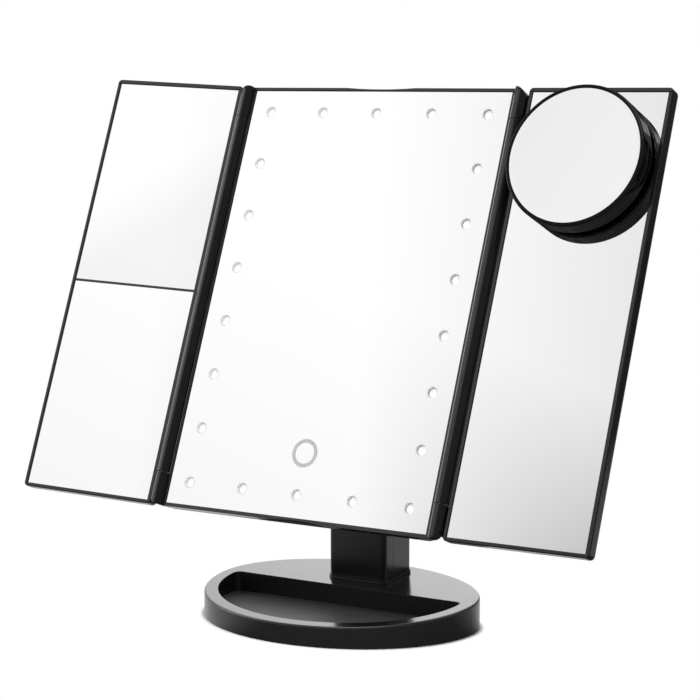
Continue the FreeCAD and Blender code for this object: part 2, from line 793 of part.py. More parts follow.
# Round magnifying mirror: a shallow case with a bezel, held off the wing glass by a cup in a short neck
spot_centre = Vector(S.spot_offset.value, S.spot_rise.value, wing_front.value)
spot_place = right_place.multiply(Placement(spot_centre, Rotation()))
case_low = S.spot_gap - S.glass_recess
case_split = case_low + S.spot_case
neck_low = S.spot_rest_gap - S.glass_recess
neck_inside = S.spot_neck_radius - S.spot_neck_wall
soft = S.spot_edge_round
spot_seat = S.spot_height - S.spot_glass_recess - S.spot_glass_edge
spot_body = turned("spot_mirror_body", [
    (0, case_low), (S.spot_radius - soft, case_low, S.spot_radius - soft, case_low + soft, 1),
    (S.spot_radius, case_low + soft), (S.spot_radius, case_split), (0, case_split)])
node("spot_mirror_body", spot_body, spot_place)
spot_neck = turned("spot_mirror_neck", [
    (neck_inside, neck_low), (S.spot_neck_radius, neck_low), (S.spot_neck_radius, case_low),
    (neck_inside, case_low)])
node("spot_mirror_neck", spot_neck, spot_place)
spot_bezel = turned("spot_mirror_bezel", [
    (0, case_split), (S.spot_radius, case_split),
    (S.spot_radius, S.spot_height - soft, S.spot_radius - soft, S.spot_height - soft, 1),
    (S.spot_radius - soft, S.spot_height), (S.spot_radius - S.spot_rim, S.spot_height),
    (S.spot_radius - S.spot_rim, spot_seat), (0, spot_seat)])
node("spot_mirror_bezel", spot_bezel, spot_place)
spot_glass_radius = S.spot_radius - S.spot_rim - S.glass_play
bowl = spot_glass_radius * spot_glass_radius / (2 * S.spot_glass_hollow) + S.spot_glass_hollow / 2
spot_edge = spot_seat + S.spot_glass_edge
spot_glass = turned("spot_mirror_glass", [
    (0, spot_seat), (spot_glass_radius, spot_seat),
    (spot_glass_radius, spot_edge, 0, spot_edge - S.spot_glass_hollow + bowl, -1),
    (0, spot_edge - S.spot_glass_hollow)])
node("spot_mirror_glass", spot_glass, spot_place)
cup_low = -S.glass_recess
cup_edge = S.cup_radius * 0.8
spot_cup = turned("spot_suction_cup", [
    (0, cup_low + S.cup_hollow), (cup_edge, cup_low + S.cup_lip), (S.cup_radius, cup_low),
    (S.cup_radius, cup_low + S.cup_lip), (S.cup_stem_radius, case_low - S.cup_hollow),
    (S.cup_stem_radius, case_low),
    (0, case_low)])
node("spot_suction_cup", spot_cup, spot_place)


# Base outlines: a front and a back half ellipse that share the widest line
widest_y = (S.base_front_depth - S.base_back_depth) / 2


def half_ellipse(half_width, depth, line, turn):
    centre = Vector(0, line, 0)
    side = Vector(half_width, line, 0)
    tip = Vector(0, line + depth, 0)
    if half_width >= depth:
        start = 0 if turn > 0 else math.pi
        return Part.Ellipse(side, tip, centre).toShape(start, start + math.pi)
    start = -math.pi / 2 if turn > 0 else math.pi / 2
    return Part.Ellipse(tip, side, centre).toShape(start, start + math.pi)


def oval(name, inset, low, high):
    inset = measure(inset)
    half_width = (S.base_half_width - inset).value
    back = half_ellipse(half_width, (S.base_back_depth - inset).value, widest_y.value, 1)
    front = half_ellipse(half_width, (S.base_front_depth - inset).value, widest_y.value, -1)
    face = doc.addObject("Part::Feature", name + "_outline")
    face.Shape = Part.Face(Part.Wire(Part.__sortEdges__([back, front])))
    bind(face, "Placement.Base.z", low)
    item = doc.addObject("Part::Extrusion", name)
    item.Base = face
    item.DirMode = "Custom"
    item.Dir = Vector(0, 0, 1)
    item.Solid = True
    bind(item, "LengthFwd", measure(high) - low)
    doc.recompute()
    return item


def top_at(y):
    return S.base_height + S.base_slope * y


def above_top(name, drop):
    reach = S.base_front_depth + S.base_back_depth
    body = new_body(name)
    sketch = new_sketch(body, "YZ_Plane")
    outline(sketch, [(-reach, top_at(-reach) - drop), (reach, top_at(reach) - drop),
                     (reach, top_at(reach) * 6), (-reach, top_at(reach) * 6)])
    pad(body, sketch, S.base_half_width * 4, both=True)
    return body


# Base shell: sloping top, tray in front of the column, hollow underneath
far = S.base_half_width * 2
high_level = S.base_height * 3
plate_top = S.foot_proud + S.plate_thickness
base_blank = without("base_blank", oval("base_oval", 0, S.foot_proud, high_level), [above_top("base_top", 0)])
base_soft = doc.addObject("Part::Fillet", "base_soft")
base_soft.Base = base_blank
top_edges = []
for number, edge in enumerate(base_blank.Shape.Edges, start=1):
    if all(abs(v.Point.z - top_at(v.Point.y).value) < 1e-3 for v in edge.Vertexes):
        top_edges.append((number, S.base_edge_round.value, S.base_edge_round.value))
base_soft.Edges = top_edges
doc.recompute()
tub = shared("tub", oval("tub_oval", S.tray_band - S.base_wall, S.tray_floor - S.tray_floor_skin, high_level),
             block("tub_limit", -far, far, -far, S.tray_back + S.base_wall, 0, high_level))
hollow_blank = without("hollow_blank", oval("hollow_oval", S.base_wall, 0, high_level),
                       [above_top("hollow_top", S.base_wall)])
hollow = without("hollow", hollow_blank, [tub])
tray_blank = shared("tray_blank", oval("tray_oval", S.tray_band, S.tray_floor, high_level),
                    block("tray_limit", -far, far, -far, S.tray_back, 0, high_level))
tray = doc.addObject("Part::Fillet", "tray")
tray.Base = tray_blank
tray.Edges = [(number, S.tray_corner.value, S.tray_corner.value)
              for number, edge in enumerate(tray_blank.Shape.Edges, start=1)
              if along_z(edge) and abs(edge.Vertexes[0].Point.y - S.tray_back.value) < 1e-3]
doc.recompute()
base_screws = [
    (S.base_half_width - S.base_screw_inset, widest_y),
    (S.base_screw_inset - S.base_half_width, widest_y),
    (ZERO, widest_y + S.base_back_depth - S.base_screw_inset),
    (ZERO, widest_y - S.base_front_depth + S.base_screw_inset)]
column_screws = [(side * S.column_screw_x, S.column_front + reach)
                 for side in (-1, 1) for reach in (S.column_screw_front, S.column_screw_back)]
base_open = without("base_open", base_soft, [hollow])
base_parts = [base_open]
base_cuts = [tray]
for number, (x, y) in enumerate(base_screws):
    base_parts.append(rod("base_boss_%d" % number, S.boss_radius, x, y, plate_top,
                          top_at(y) - S.base_wall / 2 - plate_top))
    base_cuts.append(rod("base_pilot_%d" % number, S.screw_radius, x, y, 0, top_at(y) - S.base_wall * 2))
for number, (x, y) in enumerate(column_screws):
    base_cuts.append(rod("base_column_hole_%d" % number, S.screw_radius + S.screw_play, x, y,
                         S.base_height / 2,
                         high_level))
base_full = joined("base_full", base_parts)
node("base_shell", without("base_shell", base_full, base_cuts))

# Bottom plate with sunk feet and screws
plate_inset = S.base_wall + S.plate_play
plate_blank = oval("plate_blank", plate_inset, S.foot_proud, plate_top)
feet_places = [(ZERO, ZERO), (-S.foot_front_x, -S.foot_front_y), (S.foot_front_x, -S.foot_front_y),
               (-S.foot_back_x, S.foot_back_y), (S.foot_back_x, S.foot_back_y)]
plate_cuts = []
feet = []
for number, (x, y) in enumerate(feet_places):
    plate_cuts.append(rod("foot_seat_%d" % number, S.foot_radius, x, y, 0, S.foot_proud + S.foot_sunk))
    feet.append(rod("foot_%d" % number, S.foot_radius, x, y, 0, S.foot_proud + S.foot_sunk))
base_seat = S.foot_proud + S.screw_recess + S.screw_head_height
base_screw_items = []
for number, (x, y) in enumerate(base_screws):
    plate_cuts.append(rod("plate_hole_%d" % number, S.screw_radius + S.screw_play, x, y, 0, plate_top + 1))
    plate_cuts.append(rod("plate_sink_%d" % number, S.screw_head_radius + S.screw_play, x, y, 0, base_seat))
    base_screw_items.append(screw("base_screw_%d" % number, S.screw_radius, S.screw_head_radius,
                                  S.screw_head_height, x, y, base_seat,
                                  top_at(y) - S.base_wall * 2.5 - base_seat))
node("base_bottom_plate", without("base_bottom_plate", plate_blank, plate_cuts))
node("base_feet", together("base_feet", feet))
node("base_screws", together("base_screws", base_screw_items))

# Steel weight behind the tray
weight_front = S.tray_back + S.base_wall + S.base_wall
base_weight = plate("base_weight", -S.weight_half_width, S.weight_half_width, weight_front,
                    weight_front + S.weight_depth, plate_top + S.weight_height, S.weight_height)
round_edges(base_weight, S.weight_corner, along_z)
node("base_weight", base_weight)


# Column: rounded post with a half-round head about the tilt axis, split by a seam into two shells
def post(name, inset, floor, rounding):
    inset = measure(inset)
    low_y = S.column_front + inset
    high_y = S.column_front + S.column_depth - inset
    body = new_body(name)
    sketch = new_sketch(body, "YZ_Plane")
    outline(sketch, [
        (low_y, top_at(low_y) + floor), (high_y, top_at(high_y) + floor),
        (high_y, S.tilt_axis_height, column_mid, S.tilt_axis_height, 1), (low_y, S.tilt_axis_height)])
    pad(body, sketch, S.column_width - 2 * inset, both=True)
    side = (S.column_width / 2 - inset).value
    round_edges(body, rounding, lambda edge: abs(abs(edge.BoundBox.XMin) - side) < 1e-4
                and edge.BoundBox.XLength < 1e-4 and edge.BoundBox.ZMax > S.base_height.value * 3)
    return body


column_outer = post("column_outer", 0, 0, S.column_round)
column_inner = post("column_inner", S.column_wall, S.column_floor, S.column_inner_round)
tongue_inset = S.column_wall + S.tongue_play
tongue_outer = post("tongue_outer", tongue_inset, S.column_floor + S.tongue_play,
                    S.column_inner_round - S.tongue_play)
tongue_inner = post("tongue_inner", tongue_inset + S.tongue, S.column_floor + 1 + S.tongue,
                    (S.column_inner_round - S.tongue_play) / 2)
column_tube = without("column_tube", column_outer, [column_inner])
seam_y = S.column_front + S.column_seam
column_top = S.tilt_axis_height + S.column_depth
front_shell_wall = shared("front_shell_wall", column_tube,
                          block("front_side", -far, far, 0, seam_y - S.seam_gap, 0, column_top))
tongue_tube = without("tongue_tube", tongue_outer, [tongue_inner])
tongue_strip = shared("tongue_strip", tongue_tube,
                      block("tongue_limit", -far, far, seam_y - S.tongue_reach, seam_y + S.tongue_reach,
                            S.cell_low, column_top))
tongue_weld = shared("tongue_weld", without("weld_tube", column_inner, [tongue_inner]),
                     block("weld_limit", -far, far, seam_y - S.tongue_reach, seam_y - S.seam_gap, S.cell_low,
                           column_top))
axle_relief = rod("axle_relief", S.axle_tube_radius + S.tongue_play, -S.column_width, column_mid,
                  S.tilt_axis_height, S.column_width * 2, "X")
front_shell = joined("front_shell", [front_shell_wall, tongue_strip, tongue_weld])
node("column_front_shell", without("column_front_shell", front_shell, [axle_relief]))

rear_wall_in = S.column_front + S.column_depth - S.column_wall
rear_wall_out = S.column_front + S.column_depth
cells_high = S.tilt_axis_height - S.cells_below_axis
cell_length = (cells_high - S.cell_low) / 2
holder_low = S.cell_low - S.contact_thickness - S.holder_wall
holder_high = cells_high + S.contact_thickness + S.holder_wall
door_low = holder_low - S.door_ledge / 2
door_high = holder_high + S.door_ledge / 2
rear_side = shared("rear_side", column_tube, block("rear_limit", -far, far, seam_y, far, 0, column_top))
rear_parts = [rear_side]
rear_cuts = []
rear_parts.append(rod("axle_tube", S.axle_tube_radius, -S.column_width / 2 + S.column_wall / 2, column_mid,
                      S.tilt_axis_height, S.column_width - S.column_wall, "X"))
for number, (x, y) in enumerate(column_screws):
    rear_parts.append(rod("column_boss_%d" % number, S.column_boss_radius, x, y,
                          top_at(y) + S.column_floor / 2, S.column_boss_height))
    rear_cuts.append(rod("column_pilot_%d" % number, S.screw_radius, x, y, 0,
                         top_at(y) + S.column_boss_height))
circuit_face = rear_wall_in - S.circuit_depth
circuit_high = S.circuit_low + S.circuit_height
post_x = S.circuit_width / 2 - S.boss_radius / 2
for side in (-1, 1):
    rear_parts.append(rod("circuit_post_%d" % (side + 1), S.boss_radius / 2, side * post_x, circuit_face,
                          circuit_high - S.boss_radius / 2, S.circuit_depth + S.column_wall / 2, "Y"))
rear_cuts.append(rod("axle_hole", S.axle_radius, -S.column_width, column_mid, S.tilt_axis_height,
                     S.column_width * 2, "X"))
rear_cuts.append(block("door_hole", -S.door_width / 2, S.door_width / 2, rear_wall_in, far, door_low,
                       door_high))
socket_mid = S.socket_low + S.socket_height / 2
rear_cuts.append(block("socket_hole", -S.socket_width / 2 - S.glass_play, S.socket_width / 2 + S.glass_play,
                       rear_wall_in - 1, far, S.socket_low - S.glass_play,
                       S.socket_low + S.socket_height + S.glass_play))
rear_cuts.append(block("switch_hole", -S.switch_slot_width / 2, S.switch_slot_width / 2, rear_wall_in - 1,
                       far,
                       S.switch_low, S.switch_low + S.switch_slot_height))
rear_full = joined("rear_full", rear_parts)
rear_open = without("rear_open", rear_full, rear_cuts)
ledge_front = rear_wall_in - S.door_ledge / 2
ledge_x = S.column_width / 2 - S.column_wall / 2
ledge_low = block("ledge_low", -ledge_x, ledge_x, ledge_front, rear_wall_in, door_low - S.door_ledge / 2,
                  holder_low)
ledge_high = block("ledge_high", -ledge_x, ledge_x, ledge_front, rear_wall_in, holder_high,
                   door_high + S.door_ledge / 2)
node("column_rear_shell", joined("column_rear_shell", [rear_open, ledge_low, ledge_high]))

# Battery door, cut from the same post so that it carries on its form
door_skin = shared("door_skin", column_tube,
                   block("door_limit", -S.door_width / 2 + S.door_play, S.door_width / 2 - S.door_play,
                         rear_wall_in,
                         far, door_low + S.door_play, door_high - S.door_play))
door_parts = [door_skin]
rib_half = S.door_width / 4
for number in range(3):
    rib_low = door_high - S.door_ledge * (3 + 1.5 * number)
    door_parts.append(block("door_rib_%d" % number, -rib_half, rib_half, rear_wall_out - S.column_wall / 2,
                            rear_wall_out + S.door_rib_height, rib_low, rib_low + S.door_ledge / 2))
node("battery_door", joined("battery_door", door_parts))

# Cells, two side by side and two high, between contact plates in a holder
cell_y = rear_wall_in - S.cell_radius - S.cell_play
cell_x = S.cell_radius + S.cell_play / 2
cells = []
for side in (-1, 1):
    for level in (0, 1):
        tag = "%d_%d" % (side + 1, level)
        low = S.cell_low + level * cell_length
        can_low = low if side > 0 else low + S.cell_nub_height
        nub_low = low + cell_length - S.cell_nub_height - 0.1 if side > 0 else low
        can = rod("can_" + tag, S.cell_radius, side * cell_x, cell_y, can_low,
                  cell_length - S.cell_nub_height)
        nub = rod("nub_" + tag, S.cell_nub_radius, side * cell_x, cell_y, nub_low, S.cell_nub_height + 0.1)
        cells.append(joined("cell_" + tag, [can, nub]))
node("batteries", together("batteries", cells))
holder_x = S.column_width / 2 - S.column_wall - S.tongue - S.tongue_play * 2
holder_back = cell_y - S.cell_radius
contact_y = cell_y + S.cell_radius * 0.7
contacts = [block("bridge_contact", -holder_x + 1, holder_x - 1, holder_back, contact_y,
                  S.cell_low - S.contact_thickness, S.cell_low)]
for side in (-1, 1):
    low, high = span_x(side, 1, holder_x - 1)
    contacts.append(block("end_contact_%d" % (side + 1), low, high, holder_back, contact_y, cells_high,
                          cells_high + S.contact_thickness))
node("battery_contacts", together("battery_contacts", contacts))
holder_floor = block("holder_floor", -holder_x, holder_x, holder_back - S.holder_wall, holder_back,
                     holder_low,
                     holder_high)
holder_bottom = block("holder_bottom", -holder_x, holder_x, holder_back - S.holder_wall, ledge_front,
                      holder_low,
                      holder_low + S.holder_wall)
holder_top = block("holder_top", -holder_x, holder_x, holder_back - S.holder_wall, ledge_front,
                   holder_high - S.holder_wall, holder_high)
node("battery_holder", joined("battery_holder", [holder_floor, holder_bottom, holder_top]))

# Circuit board in the foot of the column with the charging socket and the slide switch
node("circuit_board", block("circuit_board", -S.circuit_width / 2, S.circuit_width / 2,
                            circuit_face - S.board_thickness, circuit_face, S.circuit_low, circuit_high))
socket_out = block("socket_out", -S.socket_width / 2, S.socket_width / 2, circuit_face, rear_wall_out,
                   S.socket_low, S.socket_low + S.socket_height)
socket_in = block("socket_in", -S.socket_width / 2 + S.socket_skin, S.socket_width / 2 - S.socket_skin,
                  circuit_face + 1, far, S.socket_low + S.socket_skin,
                  S.socket_low + S.socket_height - S.socket_skin)
socket_shell = without("socket_shell", socket_out, [socket_in])
tongue_block = block("socket_tongue", -S.socket_width / 2 + S.socket_skin * 3,
                     S.socket_width / 2 - S.socket_skin * 3,
                     circuit_face + 0.5, rear_wall_out - 1, socket_mid - S.socket_tongue / 2,
                     socket_mid + S.socket_tongue / 2)
node("usb_socket", joined("usb_socket", [socket_shell, tongue_block]))
knob_x = -S.switch_travel / 2
knob_mid = S.switch_low + S.switch_slot_height / 2
node("power_switch_body", block("power_switch_body", -S.switch_slot_width / 2 - 1,
                                S.switch_slot_width / 2 + 1,
                                circuit_face, rear_wall_in, S.switch_low - S.switch_body_wall,
                                S.switch_low + S.switch_slot_height + S.switch_body_wall))
knob = block("knob_block", knob_x - S.switch_knob_width / 2, knob_x + S.switch_knob_width / 2, rear_wall_in,
             rear_wall_out + S.switch_knob_proud, knob_mid - S.switch_knob_height / 2,
             knob_mid + S.switch_knob_height / 2)
knob_face = rear_wall_out + S.switch_knob_proud
knob_grooves = []
for number in (-1, 0, 1):
    groove_x = knob_x + number * S.knob_groove_pitch
    knob_grooves.append(block("knob_groove_%d" % (number + 1), groove_x - S.knob_groove_width / 2,
                              groove_x + S.knob_groove_width / 2, knob_face - S.knob_groove_depth, far,
                              knob_mid - S.switch_knob_height, knob_mid + S.switch_knob_height))
node("power_switch_knob", without("power_switch_knob", knob, knob_grooves))

# Collar round the foot of the column and the screws from below
collar_front = S.column_front - S.collar_proud
collar_back = rear_wall_out + S.collar_proud
collar_half = S.column_width / 2 + S.collar_proud
collar_block = plate("collar_block", -collar_half, collar_half, collar_front, collar_back, high_level,
                     high_level)
round_edges(collar_block, S.collar_corner, along_z)
collar_low = shared("collar_low", collar_block, above_top("collar_floor", 0))
collar_trim = without("collar_trim", collar_low, [above_top("collar_roof", -S.collar_height)])
node("column_collar", without("column_collar", collar_trim, [column_outer]))
column_screw_items = []
for number, (x, y) in enumerate(column_screws):
    column_screw_items.append(screw("column_screw_%d" % number, S.screw_radius, S.screw_head_radius,
                                    S.screw_head_height, x, y, top_at(y) - S.base_wall - 0.2,
                                    S.base_wall + S.column_boss_height))
node("column_screws", together("column_screws", column_screw_items))

# Tilt axle through the column's head, with friction washers under the ears
axle_far = ear_out + S.washer_play
axle_shank = rod("axle_shank", S.axle_radius, -axle_far - S.axle_head_height, column_mid, S.tilt_axis_height,
                 2 * axle_far + S.axle_head_height + 0.5, "X")
axle_head = rod("axle_head", S.axle_head_radius, axle_far, column_mid, S.tilt_axis_height,
                S.axle_head_height, "X")
node("tilt_axle", joined("tilt_axle", [axle_shank, axle_head]))
axle_nut = doc.addObject("Part::Prism", "axle_nut_blank")
axle_nut.Polygon = 6
axle_nut.Placement = Placement(Vector(), TURNS["X"])
bind(axle_nut, "Circumradius", S.axle_head_radius)
bind(axle_nut, "Height", S.axle_head_height)
bind(axle_nut, "Placement.Base.x", -axle_far - S.axle_head_height)
bind(axle_nut, "Placement.Base.y", column_mid)
bind(axle_nut, "Placement.Base.z", S.tilt_axis_height)
nut_hole = rod("nut_hole", S.axle_radius, -far, column_mid, S.tilt_axis_height, far, "X")
node("axle_nut", without("axle_nut", axle_nut, [nut_hole]))
washers = []
for side in (-1, 1):
    low, high = span_x(side, S.column_width / 2 + S.washer_play,
                       S.column_width / 2 + S.washer_play + S.washer_thickness)
    disc = rod("washer_disc_%d" % (side + 1), S.washer_radius, low, column_mid, S.tilt_axis_height,
               S.washer_thickness, "X")
    hole = rod("washer_hole_%d" % (side + 1), S.axle_radius, low - 1, column_mid, S.tilt_axis_height,
               S.washer_thickness + 2, "X")
    washers.append(without("washer_%d" % (side + 1), disc, [hole]))
node("friction_washers", together("friction_washers", washers))

# Check and write every piece
doc.recompute()
for item in doc.Objects:
    if "Invalid" in item.State or "Error" in item.State:
        raise RuntimeError("%s did not recompute: %s" % (item.Name, item.State))
os.makedirs("parts", exist_ok=True)
for item in NODES:
    if item.Shape.isNull() or not item.Shape.isValid():
        raise RuntimeError("%s has no valid shape" % item.Label)
    item.Shape.exportStep("parts/%s.step" % item.Label)
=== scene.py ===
import math

import bmesh
import bpy
from mathutils import Euler, Matrix, Vector


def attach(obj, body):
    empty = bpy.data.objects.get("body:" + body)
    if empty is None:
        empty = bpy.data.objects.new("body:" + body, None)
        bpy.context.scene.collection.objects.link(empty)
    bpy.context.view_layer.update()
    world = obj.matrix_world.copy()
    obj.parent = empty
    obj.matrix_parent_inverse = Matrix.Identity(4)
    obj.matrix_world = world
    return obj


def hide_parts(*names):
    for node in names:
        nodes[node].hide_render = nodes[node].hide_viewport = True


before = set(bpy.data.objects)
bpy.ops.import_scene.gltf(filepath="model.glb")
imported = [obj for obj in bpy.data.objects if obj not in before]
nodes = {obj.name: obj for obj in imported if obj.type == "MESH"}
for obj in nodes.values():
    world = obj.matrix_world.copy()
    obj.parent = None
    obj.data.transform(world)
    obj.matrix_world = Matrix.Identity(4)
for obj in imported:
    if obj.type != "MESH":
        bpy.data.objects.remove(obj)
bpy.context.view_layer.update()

# Lighted makeup mirror with two folding wings, a round magnifier, a column and an oval tray base.
# The scene is in metres, +Z up, and the user looks along +Y, as in the solids.
# Sizes and places of pieces are written in millimetres, and MM turns them into metres.

MM = 0.001

# Places and sizes repeated from the solids
TILT = math.radians(22.2)
AXIS_BACK = 34.75
AXIS_HEIGHT = 160.0
AXIS_BEHIND_GLASS = 34.8
AXIS_ABOVE_MIDDLE = 4.3
GLASS_WIDTH = 157.4
GLASS_HEIGHT = 231.6
GLASS_FRONT = -0.3

# Frame of the panel: X to the right, Y up the glass and Z out of it, from the middle of its front
UP_GLASS = Vector((0.0, math.sin(TILT), math.cos(TILT)))
OUT_OF_GLASS = Vector((0.0, -math.cos(TILT), math.sin(TILT)))
TILT_AXIS = Vector((0.0, AXIS_BACK * MM, AXIS_HEIGHT * MM))
FACE_CENTRE = TILT_AXIS + OUT_OF_GLASS * AXIS_BEHIND_GLASS * MM - UP_GLASS * AXIS_ABOVE_MIDDLE * MM
PANEL_TURN = Euler((math.radians(90.0) - TILT, 0.0, 0.0))
PANEL_FRAME = Matrix.Translation(FACE_CENTRE) @ PANEL_TURN.to_matrix().to_4x4()


# Node helpers
def add_node(tree, kind, **values):
    """Adds a node and sets its own properties."""
    item = tree.nodes.new(kind)
    for key, value in values.items():
        setattr(item, key, value)
    return item


def set_input(item, name, value):
    item.inputs[name].default_value = value


def wire(tree, source, target):
    tree.links.new(source, target)


def arithmetic(tree, operation, first, second, clamp=False):
    """One step of arithmetic on numbers or sockets."""
    item = add_node(tree, "ShaderNodeMath", operation=operation, use_clamp=clamp)
    for slot, value in ((0, first), (1, second)):
        if isinstance(value, (int, float)):
            item.inputs[slot].default_value = value
        else:
            wire(tree, value, item.inputs[slot])
    return item.outputs[0]


def product(tree, first, second, clamp=False):
    return arithmetic(tree, "MULTIPLY", first, second, clamp)


def larger(tree, first, second):
    return arithmetic(tree, "MAXIMUM", first, second)


def within(tree, value, low, high):
    """1 where a value lies between two others, and 0 elsewhere."""
    item = add_node(tree, "ShaderNodeMath", operation="COMPARE")
    wire(tree, value, item.inputs[0])
    item.inputs[1].default_value = (low + high) / 2
    item.inputs[2].default_value = (high - low) / 2
    return item.outputs[0]


def spread(tree, value, low, high, to_low, to_high):
    """Maps a value from one range to another, held inside it."""
    item = add_node(tree, "ShaderNodeMapRange")
    wire(tree, value, item.inputs["Value"])
    set_input(item, "From Min", low)
    set_input(item, "From Max", high)
    set_input(item, "To Min", to_low)
    set_input(item, "To Max", to_high)
    return item.outputs["Result"]


def profile(tree, value, stops):
    """A level that runs straight from stop to stop along a value."""
    first_place, level = stops[0]
    total = level
    for place, next_level in stops[1:]:
        step = spread(tree, value, first_place, place, 0.0, next_level - level)
        total = arithmetic(tree, "ADD", step, total)
        first_place, level = place, next_level
    return total


def blend_colour(tree, amount, first, second):
    """Goes from one colour or socket to another."""
    item = add_node(tree, "ShaderNodeMix", data_type="RGBA")
    wire(tree, amount, item.inputs["Factor"])
    for slot, value in ((6, first), (7, second)):
        if isinstance(value, tuple):
            item.inputs[slot].default_value = value + (1.0,)
        else:
            wire(tree, value, item.inputs[slot])
    return item.outputs[2]


def toned(colour, share, lift=0.0):
    """A colour made darker or paler, white at most."""
    return tuple(min(1.0, part * share + lift) for part in colour)


def object_place(tree):
    """The point of a surface in its object's own coordinates."""
    return add_node(tree, "ShaderNodeTexCoord").outputs["Object"]


def face_way(tree):
    """The way that a surface looks, in its object's own coordinates."""
    return add_node(tree, "ShaderNodeTexCoord").outputs["Normal"]


def part_of(tree, vector, axis):
    """The X, Y or Z of a vector."""
    item = add_node(tree, "ShaderNodeSeparateXYZ")
    wire(tree, vector, item.inputs["Vector"])
    return item.outputs[axis]


def along(tree, vector, way):
    """How far a vector reaches along a way."""
    item = add_node(tree, "ShaderNodeVectorMath", operation="DOT_PRODUCT")
    wire(tree, vector, item.inputs[0])
    item.inputs[1].default_value = way
    return item.outputs["Value"]


def vector_step(tree, operation, vector):
    """One step of arithmetic on a vector."""
    item = add_node(tree, "ShaderNodeVectorMath", operation=operation)
    wire(tree, vector, item.inputs[0])
    return item


def stretched(tree, place, scale, turn=(0.0, 0.0, 0.0)):
    """A place that is turned and stretched, for a pattern that runs one way."""
    item = add_node(tree, "ShaderNodeMapping")
    wire(tree, place, item.inputs["Vector"])
    set_input(item, "Rotation", turn)
    set_input(item, "Scale", scale)
    return item.outputs["Vector"]


def noise(tree, place, scale, detail, rough=0.5):
    """A cloudy value from 0 to 1."""
    item = add_node(tree, "ShaderNodeTexNoise")
    wire(tree, place, item.inputs["Vector"])
    if isinstance(scale, (int, float)):
        set_input(item, "Scale", scale)
    else:
        wire(tree, scale, item.inputs["Scale"])
    set_input(item, "Detail", detail)
    set_input(item, "Roughness", rough)
    return item.outputs["Fac"]


def bump(tree, shader, height, strength, depth, normal=None):
    """Gives a shader a relief of a depth in millimetres."""
    item = add_node(tree, "ShaderNodeBump")
    set_input(item, "Strength", strength)
    set_input(item, "Distance", depth * MM)
    wire(tree, height, item.inputs["Height"])
    if normal is not None:
        wire(tree, normal, item.inputs["Normal"])
    wire(tree, item.outputs["Normal"], shader.inputs["Normal"])


# Effects that several finishes share
def new_group(name, inputs, outputs):
    """An empty node group with number inputs, its outputs, and its two end nodes."""
    group = bpy.data.node_groups.new(name, "ShaderNodeTree")
    for title, value in inputs:
        socket = group.interface.new_socket(title, in_out="INPUT", socket_type="NodeSocketFloat")
        socket.default_value = value
    for title, kind in outputs:
        group.interface.new_socket(title, in_out="OUTPUT", socket_type=kind)
    return group, add_node(group, "NodeGroupInput"), add_node(group, "NodeGroupOutput")


def make_mould_grain():
    """Spark-eroded grain of a plastic moulding: a height for bump and a change of gloss."""
    group, given, result = new_group(
        "Mould grain", [("Scale", 2500.0), ("Flow", 60.0)],
        [("Height", "NodeSocketFloat"), ("Gloss change", "NodeSocketFloat")])
    place = object_place(group)
    fine = noise(group, place, given.outputs["Scale"], 3.0, 0.6)
    flow = noise(group, place, given.outputs["Flow"], 2.0)
    pits = add_node(group, "ShaderNodeTexVoronoi")
    wire(group, place, pits.inputs["Vector"])
    wire(group, given.outputs["Scale"], pits.inputs["Scale"])
    pitted = product(group, pits.outputs["Distance"], 0.4)
    wire(group, arithmetic(group, "ADD", product(group, fine, 0.6), pitted), result.inputs["Height"])
    change = arithmetic(group, "SUBTRACT", arithmetic(group, "ADD", fine, flow), 1.0)
    wire(group, change, result.inputs["Gloss change"])
    return group


def make_handling():
    """Faint wiped smears and finger marks, as a mask from 0 to 1."""
    group, given, result = new_group(
        "Handling marks", [("Size", 14.0), ("Cover", 0.5)], [("Mask", "NodeSocketFloat")])
    place = object_place(group)
    wiped = stretched(group, place, (1.0, 1.0, 0.35), (0.0, 0.6, 0.4))
    smears = noise(group, wiped, given.outputs["Size"], 4.0, 0.62)
    spots = noise(group, place, product(group, given.outputs["Size"], 4.0), 3.0, 0.55)
    both = arithmetic(group, "ADD", product(group, smears, 0.7), product(group, spots, 0.3))
    start = arithmetic(group, "SUBTRACT", 1.0, given.outputs["Cover"])
    raised = arithmetic(group, "SUBTRACT", both, start)
    mask = product(group, raised, 4.0, clamp=True)
    wire(group, mask, result.inputs["Mask"])
    return group


def make_dust():
    """Dust that settles on faces that look up, as a mask from 0 to 1."""
    group, given, result = new_group("Settled dust", [("Cover", 0.45)], [("Mask", "NodeSocketFloat")])
    upward = spread(group, part_of(group, face_way(group), "Z"), 0.4, 0.95, 0.0, 1.0)
    place = object_place(group)
    specks = noise(group, place, 900.0, 2.0, 0.7)
    drift = noise(group, place, 35.0, 3.0)
    both = arithmetic(group, "ADD", specks, product(group, drift, 0.4))
    start = arithmetic(group, "SUBTRACT", 1.12, given.outputs["Cover"])
    raised = arithmetic(group, "SUBTRACT", both, start)
    level = product(group, raised, 5.0, clamp=True)
    mask = product(group, level, upward, clamp=True)
    wire(group, mask, result.inputs["Mask"])
    return group


def make_soft_edge():
    """Normals rounded over sharp moulded edges, and a mask of those edges."""
    group, given, result = new_group(
        "Soft edge", [("Radius", 0.4 * MM)], [("Normal", "NodeSocketVector"), ("Edge", "NodeSocketFloat")])
    rounded = add_node(group, "ShaderNodeBevel", samples=6)
    wire(group, given.outputs["Radius"], rounded.inputs["Radius"])
    face = add_node(group, "ShaderNodeNewGeometry")
    agree = vector_step(group, "DOT_PRODUCT", rounded.outputs["Normal"])
    wire(group, face.outputs["Normal"], agree.inputs[1])
    edge = spread(group, agree.outputs["Value"], 0.999, 0.85, 0.0, 1.0)
    wire(group, rounded.outputs["Normal"], result.inputs["Normal"])
    wire(group, edge, result.inputs["Edge"])
    return group


